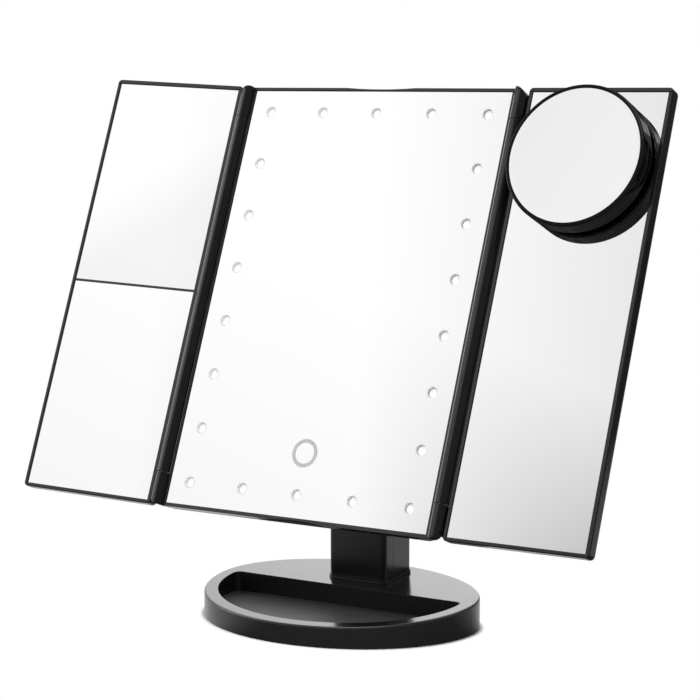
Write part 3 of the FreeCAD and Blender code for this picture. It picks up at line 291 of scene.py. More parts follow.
def make_drawn_metal():
    """Fine drawn or turned lines in metal: a height and a change of gloss."""
    group, given, result = new_group(
        "Drawn metal", [("Scale", 900.0)],
        [("Height", "NodeSocketFloat"), ("Gloss change", "NodeSocketFloat")])
    place = object_place(group)
    lines = noise(group, stretched(group, place, (0.04, 1.0, 1.0)), given.outputs["Scale"], 4.0, 0.65)
    cloud = noise(group, place, 120.0, 3.0)
    wire(group, lines, result.inputs["Height"])
    middle = product(group, arithmetic(group, "ADD", lines, cloud), 0.5)
    wire(group, arithmetic(group, "SUBTRACT", middle, 0.5), result.inputs["Gloss change"])
    return group


MOULD_GRAIN = make_mould_grain()
HANDLING = make_handling()
DUST = make_dust()
SOFT_EDGE = make_soft_edge()
DRAWN_METAL = make_drawn_metal()


def place_group(tree, group, **values):
    """Puts a shared effect into a finish with its own values."""
    item = add_node(tree, "ShaderNodeGroup", node_tree=group)
    for name, value in values.items():
        set_input(item, name, value)
    return item


# Finish helpers
EDGE_WEAR = 0.3
DUST_SHOW = 0.05
DUST_GREY = (0.32, 0.31, 0.30)
WORN_BLACK = (0.022, 0.022, 0.023)
WORN_BASE = (0.05, 0.05, 0.052)


def new_material(name):
    material = bpy.data.materials.new(name)
    material.use_nodes = True
    tree = material.node_tree
    return material, tree, tree.nodes["Principled BSDF"]


def by_change(tree, effect, low, high, reach=0.5):
    """A value that goes from low to high with the gloss change of a grain or of drawn lines."""
    return spread(tree, effect.outputs["Gloss change"], -reach, reach, low, high)


def roughness(tree, shader, level, *parts):
    """A roughness that masks change, each by its own share."""
    total = level
    for mask, share in parts:
        total = arithmetic(tree, "ADD", product(tree, mask, share), total, clamp=True)
    wire(tree, total, shader.inputs["Roughness"])


def aged(tree, tone, edge, settled, worn_colour):
    """A tone with worn edges and a little settled dust."""
    worn = blend_colour(tree, product(tree, edge.outputs["Edge"], EDGE_WEAR), tone, worn_colour)
    return blend_colour(tree, product(tree, settled.outputs["Mask"], DUST_SHOW), worn, DUST_GREY)


# Left edges of the mirrors, the top edge of the centre glass, and the width of the line of painted shade
# along them
LEFT_EDGES = [min(point.co.x for point in nodes[mirror].data.vertices)
              for mirror in ("centre_mirror", "left_upper_mirror", "right_wing_mirror")]
TOP_EDGE = max(point.co.dot(UP_GLASS) for point in nodes["centre_mirror"].data.vertices)
PAINTED_SHADE_WIDTH = 0.55 * MM


def painted_shade_lines(tree):
    """1 along the inner edge of the left and top rims: a line of painted shade that stands in for the walls
    round the recessed glass.
    """
    place = object_place(tree)
    across = part_of(tree, place, "X")
    lines = within(tree, along(tree, place, UP_GLASS), TOP_EDGE, TOP_EDGE + PAINTED_SHADE_WIDTH)
    for edge in LEFT_EDGES:
        lines = larger(tree, lines, within(tree, across, edge - PAINTED_SHADE_WIDTH, edge))
    return lines


def black_moulding(name, colour, gloss, grain_scale, grain_depth, marks, dust, specular, soft,
                   rim_polish=0.0, lacquer=1.0):
    """Black moulded plastic. Gloss is its roughness, soft is the radius of its edges in millimetres, and the
    rest are how much of each effect it shows.

    The rim polish shows only on faces that look out of the glass. A lacquer under 1 is a smoky clear coat,
    which takes light away most where it is seen at a slant.
    """
    material, tree, shader = new_material(name)
    set_input(shader, "Specular IOR Level", specular)
    set_input(shader, "Coat Roughness", 0.06)
    grain = place_group(tree, MOULD_GRAIN, Scale=grain_scale, Flow=45.0)
    handled = place_group(tree, HANDLING, Size=16.0, Cover=marks).outputs["Mask"]
    settled = place_group(tree, DUST, Cover=dust)
    edge = place_group(tree, SOFT_EDGE, Radius=soft * MM)
    tone = blend_colour(tree, by_change(tree, grain, 0.0, 1.0, 0.4), colour, toned(colour, 1.5, 0.001))
    wire(tree, aged(tree, tone, edge, settled, WORN_BLACK), shader.inputs["Base Color"])
    roughness(tree, shader, gloss, (grain.outputs["Gloss change"], 0.12), (handled, 0.08),
              (settled.outputs["Mask"], 0.25))
    if rim_polish > 0.0:
        rim = spread(tree, along(tree, face_way(tree), OUT_OF_GLASS), 0.96, 0.985, 0.0, 1.0)
        # Painted shade: the rim polish is taken off thin lines along the inner edge of the left and top rims,
        # so they read darker
        rim = arithmetic(tree, "SUBTRACT", rim, painted_shade_lines(tree), clamp=True)
        polish = spread(tree, handled, 0.0, 1.0, rim_polish, rim_polish * 0.8)
        wire(tree, product(tree, rim, polish), shader.inputs["Coat Weight"])
    if lacquer < 1.0:
        set_input(shader, "Coat Weight", 1.0)
        set_input(shader, "Coat IOR", 1.0)
        set_input(shader, "Coat Tint", (lacquer, lacquer, lacquer, 1.0))
    bump(tree, shader, grain.outputs["Height"], grain_depth, 0.03, edge.outputs["Normal"])
    return material


# Heights between the tray floor and the rim of the base, and the base's tones. The tray floor's grey is
# partly its own matt tone and partly painted light.
TRAY_TOP = 6.5 * MM
RIM_START = 9.0 * MM
BASE_SIDE = (0.012, 0.012, 0.0125)
BASE_TOP = (0.008, 0.008, 0.0083)
TRAY_TONE_AND_PAINTED_LIGHT = (0.10, 0.10, 0.102)


def base_moulding(name):
    """Black base of one moulding: a polished top, satin sides and a matt tray floor, whose paler grey is
    partly painted light.
    """
    material, tree, shader = new_material(name)
    set_input(shader, "Specular IOR Level", 0.34)
    set_input(shader, "Coat Roughness", 0.12)
    height = part_of(tree, object_place(tree), "Z")
    upward = spread(tree, part_of(tree, face_way(tree), "Z"), 0.6, 0.95, 0.0, 1.0)
    top = product(tree, upward, spread(tree, height, TRAY_TOP, RIM_START, 0.0, 1.0))
    tray = arithmetic(tree, "SUBTRACT", upward, top)
    grain = place_group(tree, MOULD_GRAIN, Scale=3000.0, Flow=45.0)
    handled = place_group(tree, HANDLING, Size=16.0, Cover=0.46).outputs["Mask"]
    settled = place_group(tree, DUST, Cover=0.2)
    edge = place_group(tree, SOFT_EDGE, Radius=0.7 * MM)
    tone = blend_colour(tree, top, BASE_SIDE, BASE_TOP)
    # Partly painted light: the upward faces of the tray floor get a far paler grey than the walls of the same
    # moulding
    tone = blend_colour(tree, tray, tone, TRAY_TONE_AND_PAINTED_LIGHT)
    wire(tree, aged(tree, tone, edge, settled, WORN_BASE), shader.inputs["Base Color"])
    roughness(tree, shader, 0.27, (top, -0.06), (tray, 0.2), (grain.outputs["Gloss change"], 0.1),
              (handled, 0.05))
    polish = arithmetic(tree, "SUBTRACT", 1.0, product(tree, handled, 0.1))
    wire(tree, product(tree, top, polish), shader.inputs["Coat Weight"])
    bump(tree, shader, grain.outputs["Height"], 0.06, 0.03, edge.outputs["Normal"])
    return material


# The painted shade over the lower corner of the upper left mirror, which stands in for a dimmer reflection
# there, grows along this way, between these two places
SHADE_WAY = Vector((0.5, 0.0, -0.866))
SHADE_START = -268.0 * MM
SHADE_FULL = -234.0 * MM
FILM_DULL = 0.985
FILM_ROUGH = 0.03


def silvered_glass(name, tint, shade=1.0):
    """Silvered mirror glass: bright, cool, with the faintest wiped film. A shade under 1 is painted shade
    that darkens one corner, in place of a dimmer reflection.
    """
    material, tree, shader = new_material(name)
    set_input(shader, "Metallic", 1.0)
    film = place_group(tree, HANDLING, Size=9.0, Cover=0.42).outputs["Mask"]
    tone = blend_colour(tree, film, tint, toned(tint, FILM_DULL))
    # Painted shade: the tint darkens toward one corner, standing in for a dimmer reflection
    if shade < 1.0:
        reach = along(tree, object_place(tree), SHADE_WAY)
        corner = spread(tree, reach, SHADE_START, SHADE_FULL, 0.0, 1.0)
        tone = blend_colour(tree, corner, tone, toned(tint, shade))
    wire(tree, tone, shader.inputs["Base Color"])
    wire(tree, spread(tree, film, 0.0, 1.0, 0.0, FILM_ROUGH), shader.inputs["Roughness"])
    return material


def drawn_steel(name, colour, gloss):
    """Steel or brass with fine drawn lines."""
    material, tree, shader = new_material(name)
    set_input(shader, "Metallic", 1.0)
    lines = place_group(tree, DRAWN_METAL, Scale=1400.0)
    edge = place_group(tree, SOFT_EDGE, Radius=0.2 * MM)
    tone = blend_colour(tree, by_change(tree, lines, 0.0, 1.0, 0.3), toned(colour, 0.72), colour)
    wire(tree, tone, shader.inputs["Base Color"])
    roughness(tree, shader, gloss, (lines.outputs["Gloss change"], 0.4))
    bump(tree, shader, lines.outputs["Height"], 0.25, 0.04, edge.outputs["Normal"])
    return material


def soft_rubber(name, colour, gloss, transmission):
    """Moulded rubber, matt or see-through."""
    material, tree, shader = new_material(name)
    set_input(shader, "Transmission Weight", transmission)
    set_input(shader, "Specular IOR Level", 0.3)
    grain = place_group(tree, MOULD_GRAIN, Scale=1600.0, Flow=90.0)
    settled = place_group(tree, DUST, Cover=0.4)
    tone = blend_colour(tree, by_change(tree, grain, 0.0, 1.0, 0.4), colour, toned(colour, 1.5, 0.01))
    wire(tree, tone, shader.inputs["Base Color"])
    roughness(tree, shader, gloss, (grain.outputs["Gloss change"], 0.2), (settled.outputs["Mask"], 0.1))
    bump(tree, shader, grain.outputs["Height"], 0.5, 0.06)
    return material


def frosted_window(name):
    """White diffusing window with a faint painted glow that lifts its white; the light chips behind it are
    not lit.
    """
    material, tree, shader = new_material(name)
    # Painted glow: the window gives off a little light though no lamp is behind it
    set_input(shader, "Emission Color", (1.0, 1.0, 1.0, 1.0))
    set_input(shader, "Emission Strength", 0.25)
    grain = place_group(tree, MOULD_GRAIN, Scale=3800.0, Flow=300.0)
    tone = blend_colour(tree, by_change(tree, grain, 0.0, 1.0), (0.93, 0.935, 0.94), (0.97, 0.97, 0.965))
    wire(tree, tone, shader.inputs["Base Color"])
    wire(tree, by_change(tree, grain, 0.32, 0.55), shader.inputs["Roughness"])
    bump(tree, shader, grain.outputs["Height"], 0.04, 0.02)
    return material


def printed_grey(name, low, high, relief):
    """Grey etching or print, a little uneven."""
    material, tree, shader = new_material(name)
    grain = place_group(tree, MOULD_GRAIN, Scale=5200.0, Flow=400.0)
    wire(tree, blend_colour(tree, by_change(tree, grain, 0.0, 1.0), low, high), shader.inputs["Base Color"])
    wire(tree, by_change(tree, grain, 0.35, 0.6), shader.inputs["Roughness"])
    bump(tree, shader, grain.outputs["Height"], relief, 0.03)
    return material


def ground_edge(name, left_painted_grey, right_painted_grey):
    """Ground edge of a light window. Its grey runs from the left to the right of the glass: painted light and
    shade, as if the windows caught the light unevenly across the panel.
    """
    material, tree, shader = new_material(name)
    grain = place_group(tree, MOULD_GRAIN, Scale=5200.0, Flow=400.0)
    place = part_of(tree, object_place(tree), "X")
    across = spread(tree, place, -GLASS_WIDTH / 2 * MM, GLASS_WIDTH / 2 * MM, 0.0, 1.0)
    # Painted light and shade: the grey runs from one side of the glass to the other
    tone = blend_colour(tree, across, (left_painted_grey,) * 3, (right_painted_grey,) * 3)
    tone = blend_colour(tree, by_change(tree, grain, 0.0, 0.1), tone, (0.97, 0.97, 0.97))
    wire(tree, tone, shader.inputs["Base Color"])
    wire(tree, by_change(tree, grain, 0.35, 0.6), shader.inputs["Roughness"])
    bump(tree, shader, grain.outputs["Height"], 0.03, 0.03)
    return material


def circuit_white(name):
    """White solder mask with faint tracks under it."""
    material, tree, shader = new_material(name)
    tracks = add_node(tree, "ShaderNodeTexBrick", offset=0.5)
    wire(tree, object_place(tree), tracks.inputs["Vector"])
    set_input(tracks, "Scale", 260.0)
    set_input(tracks, "Mortar Size", 0.05)
    grain = place_group(tree, MOULD_GRAIN, Scale=2600.0, Flow=200.0)
    tone = blend_colour(tree, tracks.outputs["Fac"], (0.84, 0.85, 0.82), (0.74, 0.76, 0.71))
    wire(tree, tone, shader.inputs["Base Color"])
    wire(tree, by_change(tree, grain, 0.25, 0.5), shader.inputs["Roughness"])
    bump(tree, shader, tracks.outputs["Fac"], 0.3, 0.04)
    return material


def phosphor(name):
    """Yellow phosphor cap of a light chip."""
    material, tree, shader = new_material(name)
    grain = place_group(tree, MOULD_GRAIN, Scale=4200.0, Flow=600.0)
    tone = blend_colour(tree, by_change(tree, grain, 0.0, 1.0), (0.86, 0.78, 0.30), (0.95, 0.90, 0.52))
    wire(tree, tone, shader.inputs["Base Color"])
    wire(tree, by_change(tree, grain, 0.3, 0.55), shader.inputs["Roughness"])
    bump(tree, shader, grain.outputs["Height"], 0.3, 0.04)
    return material


CELL_FOOT = 44.0 * MM
CELL_LENGTH = 50.5 * MM
BAND_START = 0.70
BAND_FULL = 0.71


def wrapped_cell(name):
    """Shrink-wrapped cell: a dark sleeve with a lighter band at one end."""
    material, tree, shader = new_material(name)
    set_input(shader, "Metallic", 0.3)
    height = arithmetic(tree, "SUBTRACT", part_of(tree, object_place(tree), "Z"), CELL_FOOT)
    lengths = arithmetic(tree, "DIVIDE", height, CELL_LENGTH)
    band = spread(tree, arithmetic(tree, "FRACT", lengths, 0.0), BAND_START, BAND_FULL, 0.0, 1.0)
    lines = place_group(tree, DRAWN_METAL, Scale=700.0)
    tone = blend_colour(tree, band, (0.05, 0.055, 0.065), (0.45, 0.30, 0.12))
    wire(tree, tone, shader.inputs["Base Color"])
    wire(tree, by_change(tree, lines, 0.22, 0.4, 0.3), shader.inputs["Roughness"])
    bump(tree, shader, lines.outputs["Height"], 0.1, 0.03)
    return material


# Finishes of this mirror
SATIN_BLACK = black_moulding(
    "Satin black frame", (0.005, 0.005, 0.0053), gloss=0.16, grain_scale=2600.0, grain_depth=0.06,
    marks=0.44, dust=0.2, specular=0.1, soft=0.5, rim_polish=1.0)
COLUMN_BLACK = black_moulding(
    "Satin black column", (0.004, 0.004, 0.0042), gloss=0.22, grain_scale=2600.0, grain_depth=0.08,
    marks=0.44, dust=0.2, specular=0.32, soft=0.6)
BASE_BLACK = base_moulding("Black base")
PIANO_BLACK = black_moulding(
    "Polished black magnifier", (0.003, 0.003, 0.0032), gloss=0.12, grain_scale=3600.0, grain_depth=0.03,
    marks=0.46, dust=0.2, specular=0.18, soft=0.5, lacquer=0.66)
GRAINED_BLACK = black_moulding(
    "Grained black back", (0.019, 0.019, 0.0195), gloss=0.40, grain_scale=1500.0, grain_depth=0.6,
    marks=0.42, dust=0.3, specular=0.4, soft=0.5)
INNER_BLACK = black_moulding(
    "Plain black inside", (0.016, 0.016, 0.017), gloss=0.5, grain_scale=1900.0, grain_depth=0.5,
    marks=0.38, dust=0.3, specular=0.35, soft=0.3)
TRAY_BLACK = black_moulding(
    "Matt black underside", (0.012, 0.012, 0.0125), gloss=0.55, grain_scale=1300.0, grain_depth=0.8,
    marks=0.4, dust=0.3, specular=0.35, soft=0.4)
CENTRE_SILVER = silvered_glass("Silvered centre glass", (0.985, 0.987, 0.986))
# Painted shade: the upper wing glass is darkened toward its lower corner
UPPER_SILVER = silvered_glass("Silvered upper wing glass", (0.98, 0.983, 0.982), shade=0.91)
WING_SILVER = silvered_glass("Silvered wing glass", (0.98, 0.983, 0.982))
ROUND_SILVER = silvered_glass("Silvered round glass", (0.985, 0.987, 0.986))
WINDOW_WHITE = frosted_window("Frosted light window")
RING_GREY = printed_grey("Etched touch ring", (0.45, 0.455, 0.46), (0.51, 0.515, 0.52), relief=0.1)
# Painted light and shade: window edges paler on the left, window rims paler on the right
WINDOW_EDGE = ground_edge("Ground window edge", left_painted_grey=0.80, right_painted_grey=0.56)
WINDOW_RIM = ground_edge("Ground window rim", left_painted_grey=0.46, right_painted_grey=0.80)
MARK_WHITE = printed_grey("Printed switch mark", (0.66, 0.66, 0.66), (0.78, 0.78, 0.78), relief=0.3)
BOARD_WHITE = circuit_white("White circuit board")
CHIP_YELLOW = phosphor("Light chip phosphor")
ZINC = drawn_steel("Zinc plated steel", (0.62, 0.62, 0.63), gloss=0.32)
DARK_STEEL = drawn_steel("Blackened screw steel", (0.09, 0.09, 0.095), gloss=0.34)
PLAIN_STEEL = drawn_steel("Plain cut steel", (0.42, 0.42, 0.43), gloss=0.45)
BRASS = drawn_steel("Brass touch pad", (0.78, 0.58, 0.28), gloss=0.3)
PAD_RUBBER = soft_rubber("Black pad rubber", (0.018, 0.018, 0.018), gloss=0.72, transmission=0.0)
CUP_RUBBER = soft_rubber("Clear cup rubber", (0.78, 0.8, 0.8), gloss=0.3, transmission=0.7)
CELL_WRAP = wrapped_cell("Wrapped cell")

FINISH = {
    "base_shell": BASE_BLACK,
    "base_bottom_plate": TRAY_BLACK,
    "base_feet": PAD_RUBBER,
    "base_screws": DARK_STEEL,
    "base_weight": PLAIN_STEEL,
    "column_collar": COLUMN_BLACK,
    "column_front_shell": COLUMN_BLACK,
    "column_rear_shell": COLUMN_BLACK,
    "battery_door": COLUMN_BLACK,
    "column_screws": ZINC,
    "batteries": CELL_WRAP,
    "battery_contacts": ZINC,
    "battery_holder": INNER_BLACK,
    "circuit_board": BOARD_WHITE,
    "usb_socket": ZINC,
    "power_switch_body": INNER_BLACK,
    "power_switch_knob": INNER_BLACK,
    "tilt_bracket": SATIN_BLACK,
    "bracket_screws": DARK_STEEL,
    "tilt_axle": ZINC,
    "axle_nut": ZINC,
    "friction_washers": INNER_BLACK,
    "centre_frame": SATIN_BLACK,
    "centre_mirror": CENTRE_SILVER,
    "led_windows": WINDOW_WHITE,
    "leds": CHIP_YELLOW,
    "led_board": BOARD_WHITE,
    "touch_ring": RING_GREY,
    "touch_sensor": BRASS,
    "rear_cover": GRAINED_BLACK,
    "rear_screws": DARK_STEEL,
    "hinge_pins": ZINC,
    "left_wing_frame": SATIN_BLACK,
    "left_wing_back": GRAINED_BLACK,
    "left_upper_mirror": UPPER_SILVER,
    "left_lower_mirror": WING_SILVER,
    "right_wing_frame": SATIN_BLACK,
    "right_wing_back": GRAINED_BLACK,
    "right_wing_mirror": WING_SILVER,
    "spot_mirror_bezel": PIANO_BLACK,
    "spot_mirror_neck": PIANO_BLACK,
    "spot_mirror_body": PIANO_BLACK,
    "spot_mirror_glass": ROUND_SILVER,
    "spot_suction_cup": CUP_RUBBER,
}
for name, node_object in nodes.items():
    node_object.data.materials.clear()
    node_object.data.materials.append(FINISH[name])

# Modelling helpers, all in millimetres
FACING = 0.9
NEAR_MIDDLE = 0.5
HAIR = 0.01


def only(piece):
    """Leaves one object selected and active."""
    bpy.ops.object.select_all(action="DESELECT")
    piece.select_set(True)
    bpy.context.view_layer.objects.active = piece


def start_disc(name, radius, low, high, sides):
    """A round blank that stands on the Z axis."""
    bpy.ops.object.select_all(action="DESELECT")
    bpy.ops.mesh.primitive_cylinder_add(vertices=sides, radius=radius * MM, depth=(high - low) * MM,
                                        location=(0.0, 0.0, (high + low) / 2 * MM))
    piece = bpy.context.object
    piece.name = name
    bpy.ops.object.transform_apply(location=True, rotation=True, scale=True)
    return piece


def start_block(name, low, high):
    """A square blank between two corners."""
    bpy.ops.object.select_all(action="DESELECT")
    middle = [(a + b) / 2 * MM for a, b in zip(low, high)]
    bpy.ops.mesh.primitive_cube_add(size=1.0, location=middle)
    piece = bpy.context.object
    piece.name = name
    piece.scale = [(b - a) * MM for a, b in zip(low, high)]
    bpy.ops.object.transform_apply(location=True, rotation=True, scale=True)
    return piece


def edit(piece):
    only(piece)
    bpy.ops.object.mode_set(mode="EDIT")


def done():
    bpy.ops.object.mode_set(mode="OBJECT")


def pick_faces(piece, wanted):
    """Selects the faces whose centre and normal pass a test."""
    bpy.ops.mesh.select_mode(type="FACE")
    bpy.ops.mesh.select_all(action="DESELECT")
    mesh = bmesh.from_edit_mesh(piece.data)
    for face in mesh.faces:
        face.select_set(wanted(face.calc_center_median() / MM, face.normal))
    bmesh.update_edit_mesh(piece.data)


def pick_top(piece):
    pick_faces(piece, lambda centre, normal: normal.z > FACING)


def pick_edges(piece, wanted):
    """Selects the edges whose two ends pass a test."""
    bpy.ops.mesh.select_mode(type="EDGE")
    bpy.ops.mesh.select_all(action="DESELECT")
    mesh = bmesh.from_edit_mesh(piece.data)
    for edge in mesh.edges:
        first, second = edge.verts
        edge.select_set(wanted(first.co / MM, second.co / MM))
    bmesh.update_edit_mesh(piece.data)


def inset(width, rise=0.0):
    bpy.ops.mesh.inset(thickness=width * MM, depth=rise * MM)


def extrude(vector):
    bpy.ops.mesh.extrude_region_move(TRANSFORM_OT_translate={"value": [v * MM for v in vector]})


def bevel(width, steps):
    bpy.ops.mesh.bevel(offset=width * MM, segments=steps, affect="EDGES")


def give_finish(piece, slot):
    """Gives the selected faces the finish of a slot."""
    piece.active_material_index = slot
    bpy.ops.object.material_slot_assign()


def cut_away(piece, cutter):
    """Takes one shape out of another and drops it."""
    only(piece)
    cut = piece.modifiers.new("cut", "BOOLEAN")
    cut.operation = "DIFFERENCE"
    cut.solver = "EXACT"
    cut.object = cutter
    bpy.ops.object.modifier_apply(modifier="cut")
    bpy.data.objects.remove(cutter, do_unlink=True)


def set_out(pattern, places, name):
    """Copies one modelled piece to every place, joins the copies and drops the pattern."""
    copies = []
    for place in places:
        copy = pattern.copy()
        copy.data = pattern.data.copy()
        bpy.context.scene.collection.objects.link(copy)
        copy.data.transform(place)
        copies.append(copy)
    bpy.data.objects.remove(pattern, do_unlink=True)
    bpy.ops.object.select_all(action="DESELECT")
    for copy in copies:
        copy.select_set(True)
    bpy.context.view_layer.objects.active = copies[0]
    bpy.ops.object.join()
    joined = bpy.context.object
    joined.name = name
    bpy.ops.object.shade_smooth_by_angle(angle=math.radians(35.0))
    return joined


def at(x, y, z):
    return Matrix.Translation((x * MM, y * MM, z * MM))


# Light windows: a frosted disc at the bottom of a ground hole in the glass
WINDOW_RADIUS = 3.03
WINDOW_BACK = -2.28
WINDOW_FRONT = GLASS_FRONT - 0.03
WINDOW_SIDES = 40
WINDOW_WALL = 0.25
WINDOW_SINK = 1.75
WINDOW_RING = 0.4
WINDOW_RING_RISE = 0.04
DOME_RINGS = ((1.1, 0.08), (0.9, 0.03))
EDGE_SLOT = 1
RIM_SLOT = 2


def window_lens():
    """A cup with a ground wall and rim, and a low dome on its floor."""
    lens = start_disc("window_lens", WINDOW_RADIUS, WINDOW_BACK, WINDOW_FRONT, WINDOW_SIDES)
    for finish in (WINDOW_WHITE, WINDOW_EDGE, WINDOW_RIM):
        lens.data.materials.append(finish)
    edit(lens)
    pick_top(lens)
    inset(WINDOW_WALL)
    pick_faces(lens, lambda centre, normal: normal.z > FACING and centre.xy.length < NEAR_MIDDLE)
    extrude((0.0, 0.0, -WINDOW_SINK))
    inset(WINDOW_RING, WINDOW_RING_RISE)
    for width, rise in DOME_RINGS:
        inset(width, rise)
    ring_start = WINDOW_RADIUS - WINDOW_WALL - WINDOW_RING
    pick_faces(lens, lambda centre, normal: centre.xy.length > ring_start and centre.z > WINDOW_BACK + 0.1)
    give_finish(lens, EDGE_SLOT)
    pick_faces(lens, lambda centre, normal: normal.z > FACING and centre.z > WINDOW_FRONT - HAIR)
    give_finish(lens, RIM_SLOT)
    done()
    return lens


LIGHT_MARGIN = 12.0
LIGHT_COLUMNS = 5
LIGHT_ROWS = 8
COLUMN_STEP = (GLASS_WIDTH - 2 * LIGHT_MARGIN) / (LIGHT_COLUMNS - 1)
ROW_STEP = (GLASS_HEIGHT - 2 * LIGHT_MARGIN) / (LIGHT_ROWS - 1)
window_places = []
for column in range(LIGHT_COLUMNS):
    for row in range(LIGHT_ROWS):
        if 0 < column < LIGHT_COLUMNS - 1 and 0 < row < LIGHT_ROWS - 1:
            continue
        across = -GLASS_WIDTH / 2 + LIGHT_MARGIN + column * COLUMN_STEP
        up = -GLASS_HEIGHT / 2 + LIGHT_MARGIN + row * ROW_STEP
        window_places.append(PANEL_FRAME @ at(across, up, 0.0))
lenses = set_out(window_lens(), window_places, "light_window_lenses")
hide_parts("led_windows")
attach(lenses, "panel")

# Frame of the round mirror, on the right wing
HINGE_ACROSS = 84.2
HINGE_LIFT = 0.5
RIGHT_OPEN = 0.6
ROUND_ACROSS = 42.8
ROUND_UP = 77.6
RIGHT_HINGE = PANEL_FRAME @ at(HINGE_ACROSS, 0.0, HINGE_LIFT)
RIGHT_FRAME = RIGHT_HINGE @ Matrix.Rotation(math.radians(-RIGHT_OPEN), 4, "Y")
ROUND_FRAME = RIGHT_FRAME @ at(ROUND_ACROSS, ROUND_UP, -HINGE_LIFT)

# Concave glass of the round mirror, turned in fine rings so that it reflects without facets
ROUND_GLASS_RADIUS = 35.1
ROUND_GLASS_BACK = 11.67
ROUND_GLASS_FRONT = 13.23
ROUND_GLASS_SIDES = 128
ROUND_GLASS_EDGE = 0.25
ROUND_GLASS_FLAT = 0.6
ROUND_GLASS_HOLLOW = 0.8
ROUND_GLASS_RINGS = 16


def concave_glass():
    glass = start_disc("concave_glass", ROUND_GLASS_RADIUS, ROUND_GLASS_BACK, ROUND_GLASS_FRONT,
                       ROUND_GLASS_SIDES)
    glass.data.materials.append(ROUND_SILVER)
    edit(glass)
    pick_top(glass)
    inset(ROUND_GLASS_EDGE)
    step = (ROUND_GLASS_RADIUS - ROUND_GLASS_FLAT) / ROUND_GLASS_RINGS
    for ring in range(ROUND_GLASS_RINGS):
        outer = 1.0 - ring / ROUND_GLASS_RINGS
        inner = 1.0 - (ring + 1) / ROUND_GLASS_RINGS
        inset(step, -ROUND_GLASS_HOLLOW * (outer * outer - inner * inner))
    done()
    return glass


round_glass = set_out(concave_glass(), [ROUND_FRAME], "concave_round_glass")
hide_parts("spot_mirror_glass")
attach(round_glass, "spot_mirror")

# Screws: a pan head with a cross recess, its shank above it
HEAD_RADIUS = 1.9
HEAD_HEIGHT = 1.2
HEAD_ROUND = 0.5
HEAD_SIDES = 28
SHANK_RADIUS = 1.0
TIP_LENGTH = 0.4
TIP_TAPER = 0.3
CROSS_REACH = 1.15
CROSS_HALF_WIDTH = 0.24
CROSS_DEPTH = 0.75
CROSS_CLEAR = 0.3
CROSS_TAPER = (0.55, 0.7, 1.0)


def cross_screw(length):
    """A screw that points up, its head from minus the head height to zero and looking down."""
    screw = start_disc("cross_screw", HEAD_RADIUS, -HEAD_HEIGHT, 0.0, HEAD_SIDES)
    edit(screw)
    pick_top(screw)
    inset(HEAD_RADIUS - SHANK_RADIUS)
    extrude((0.0, 0.0, length - TIP_LENGTH))
    inset(TIP_TAPER)
    bpy.ops.transform.translate(value=(0.0, 0.0, TIP_LENGTH * MM))
    pick_edges(screw, lambda a, b: max(a.z, b.z) < -HEAD_HEIGHT + HAIR)
    bevel(HEAD_ROUND, 4)
    done()
    for turn in (0.0, 90.0):
        bar = start_block("cross_bar", (-CROSS_REACH, -CROSS_HALF_WIDTH, -HEAD_HEIGHT - CROSS_CLEAR),
                          (CROSS_REACH, CROSS_HALF_WIDTH, -HEAD_HEIGHT + CROSS_DEPTH))
        edit(bar)
        pick_top(bar)
        bpy.ops.transform.resize(value=CROSS_TAPER)
        done()
        bar.data.transform(Matrix.Rotation(math.radians(turn), 4, "Z"))
        cut_away(screw, bar)
    screw.data.materials.append(DARK_STEEL)
    return screw


COVER_SCREW_ACROSS = 75.2
COVER_SCREW_LEVELS = (106.0, 36.0, -36.0, -106.0)
COVER_SCREW_SEAT = -8.7
COVER_SCREW_LENGTH = 5.3
cover_places = []
for side in (-1, 1):
    for level in COVER_SCREW_LEVELS:
        cover_places.append(PANEL_FRAME @ at(side * COVER_SCREW_ACROSS, level, COVER_SCREW_SEAT))
cover_screws = set_out(cross_screw(COVER_SCREW_LENGTH), cover_places, "rear_cross_screws")
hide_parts("rear_screws")
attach(cover_screws, "panel")

BRACKET_SCREW_ACROSS = 12.0
BRACKET_SCREW_UP = 17.0
BRACKET_SCREW_SEAT = -11.7
BRACKET_SCREW_LENGTH = 4.6
bracket_places = []
for side in (-1, 1):
    for level in (AXIS_ABOVE_MIDDLE - BRACKET_SCREW_UP, AXIS_ABOVE_MIDDLE + BRACKET_SCREW_UP):
        bracket_places.append(PANEL_FRAME @ at(side * BRACKET_SCREW_ACROSS, level, BRACKET_SCREW_SEAT))
bracket_screws = set_out(cross_screw(BRACKET_SCREW_LENGTH), bracket_places, "bracket_cross_screws")
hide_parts("bracket_screws")
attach(bracket_screws, "panel")

BASE_SCREW_SPOTS = ((73.1, 7.5), (-73.1, 7.5), (0.0, 53.3), (0.0, -53.3))
BASE_SCREW_SEAT = 1.7
BASE_SCREW_LENGTH = 4.2
base_places = [at(x, y, BASE_SCREW_SEAT) for x, y in BASE_SCREW_SPOTS]
base_screws = set_out(cross_screw(BASE_SCREW_LENGTH), base_places, "base_cross_screws")
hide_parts("base_screws")
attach(base_screws, "stand")

# Rubber pads: a soft rim and ridges on the face that stands on the table
PAD_RADIUS = 5.98
PAD_HEIGHT = 1.18
PAD_SIDES = 48
PAD_RIM = 1.0
PAD_EDGE = 0.25
GROOVE_SLOPE = 0.3
GROOVE_DEPTH = 0.3
GROOVE_FLOOR = 0.8
RIDGE_WIDTH = 0.8
PAD_SPOTS = ((0.0, 0.0), (-38.0, -28.0), (38.0, -28.0), (-42.0, 34.0), (42.0, 34.0))


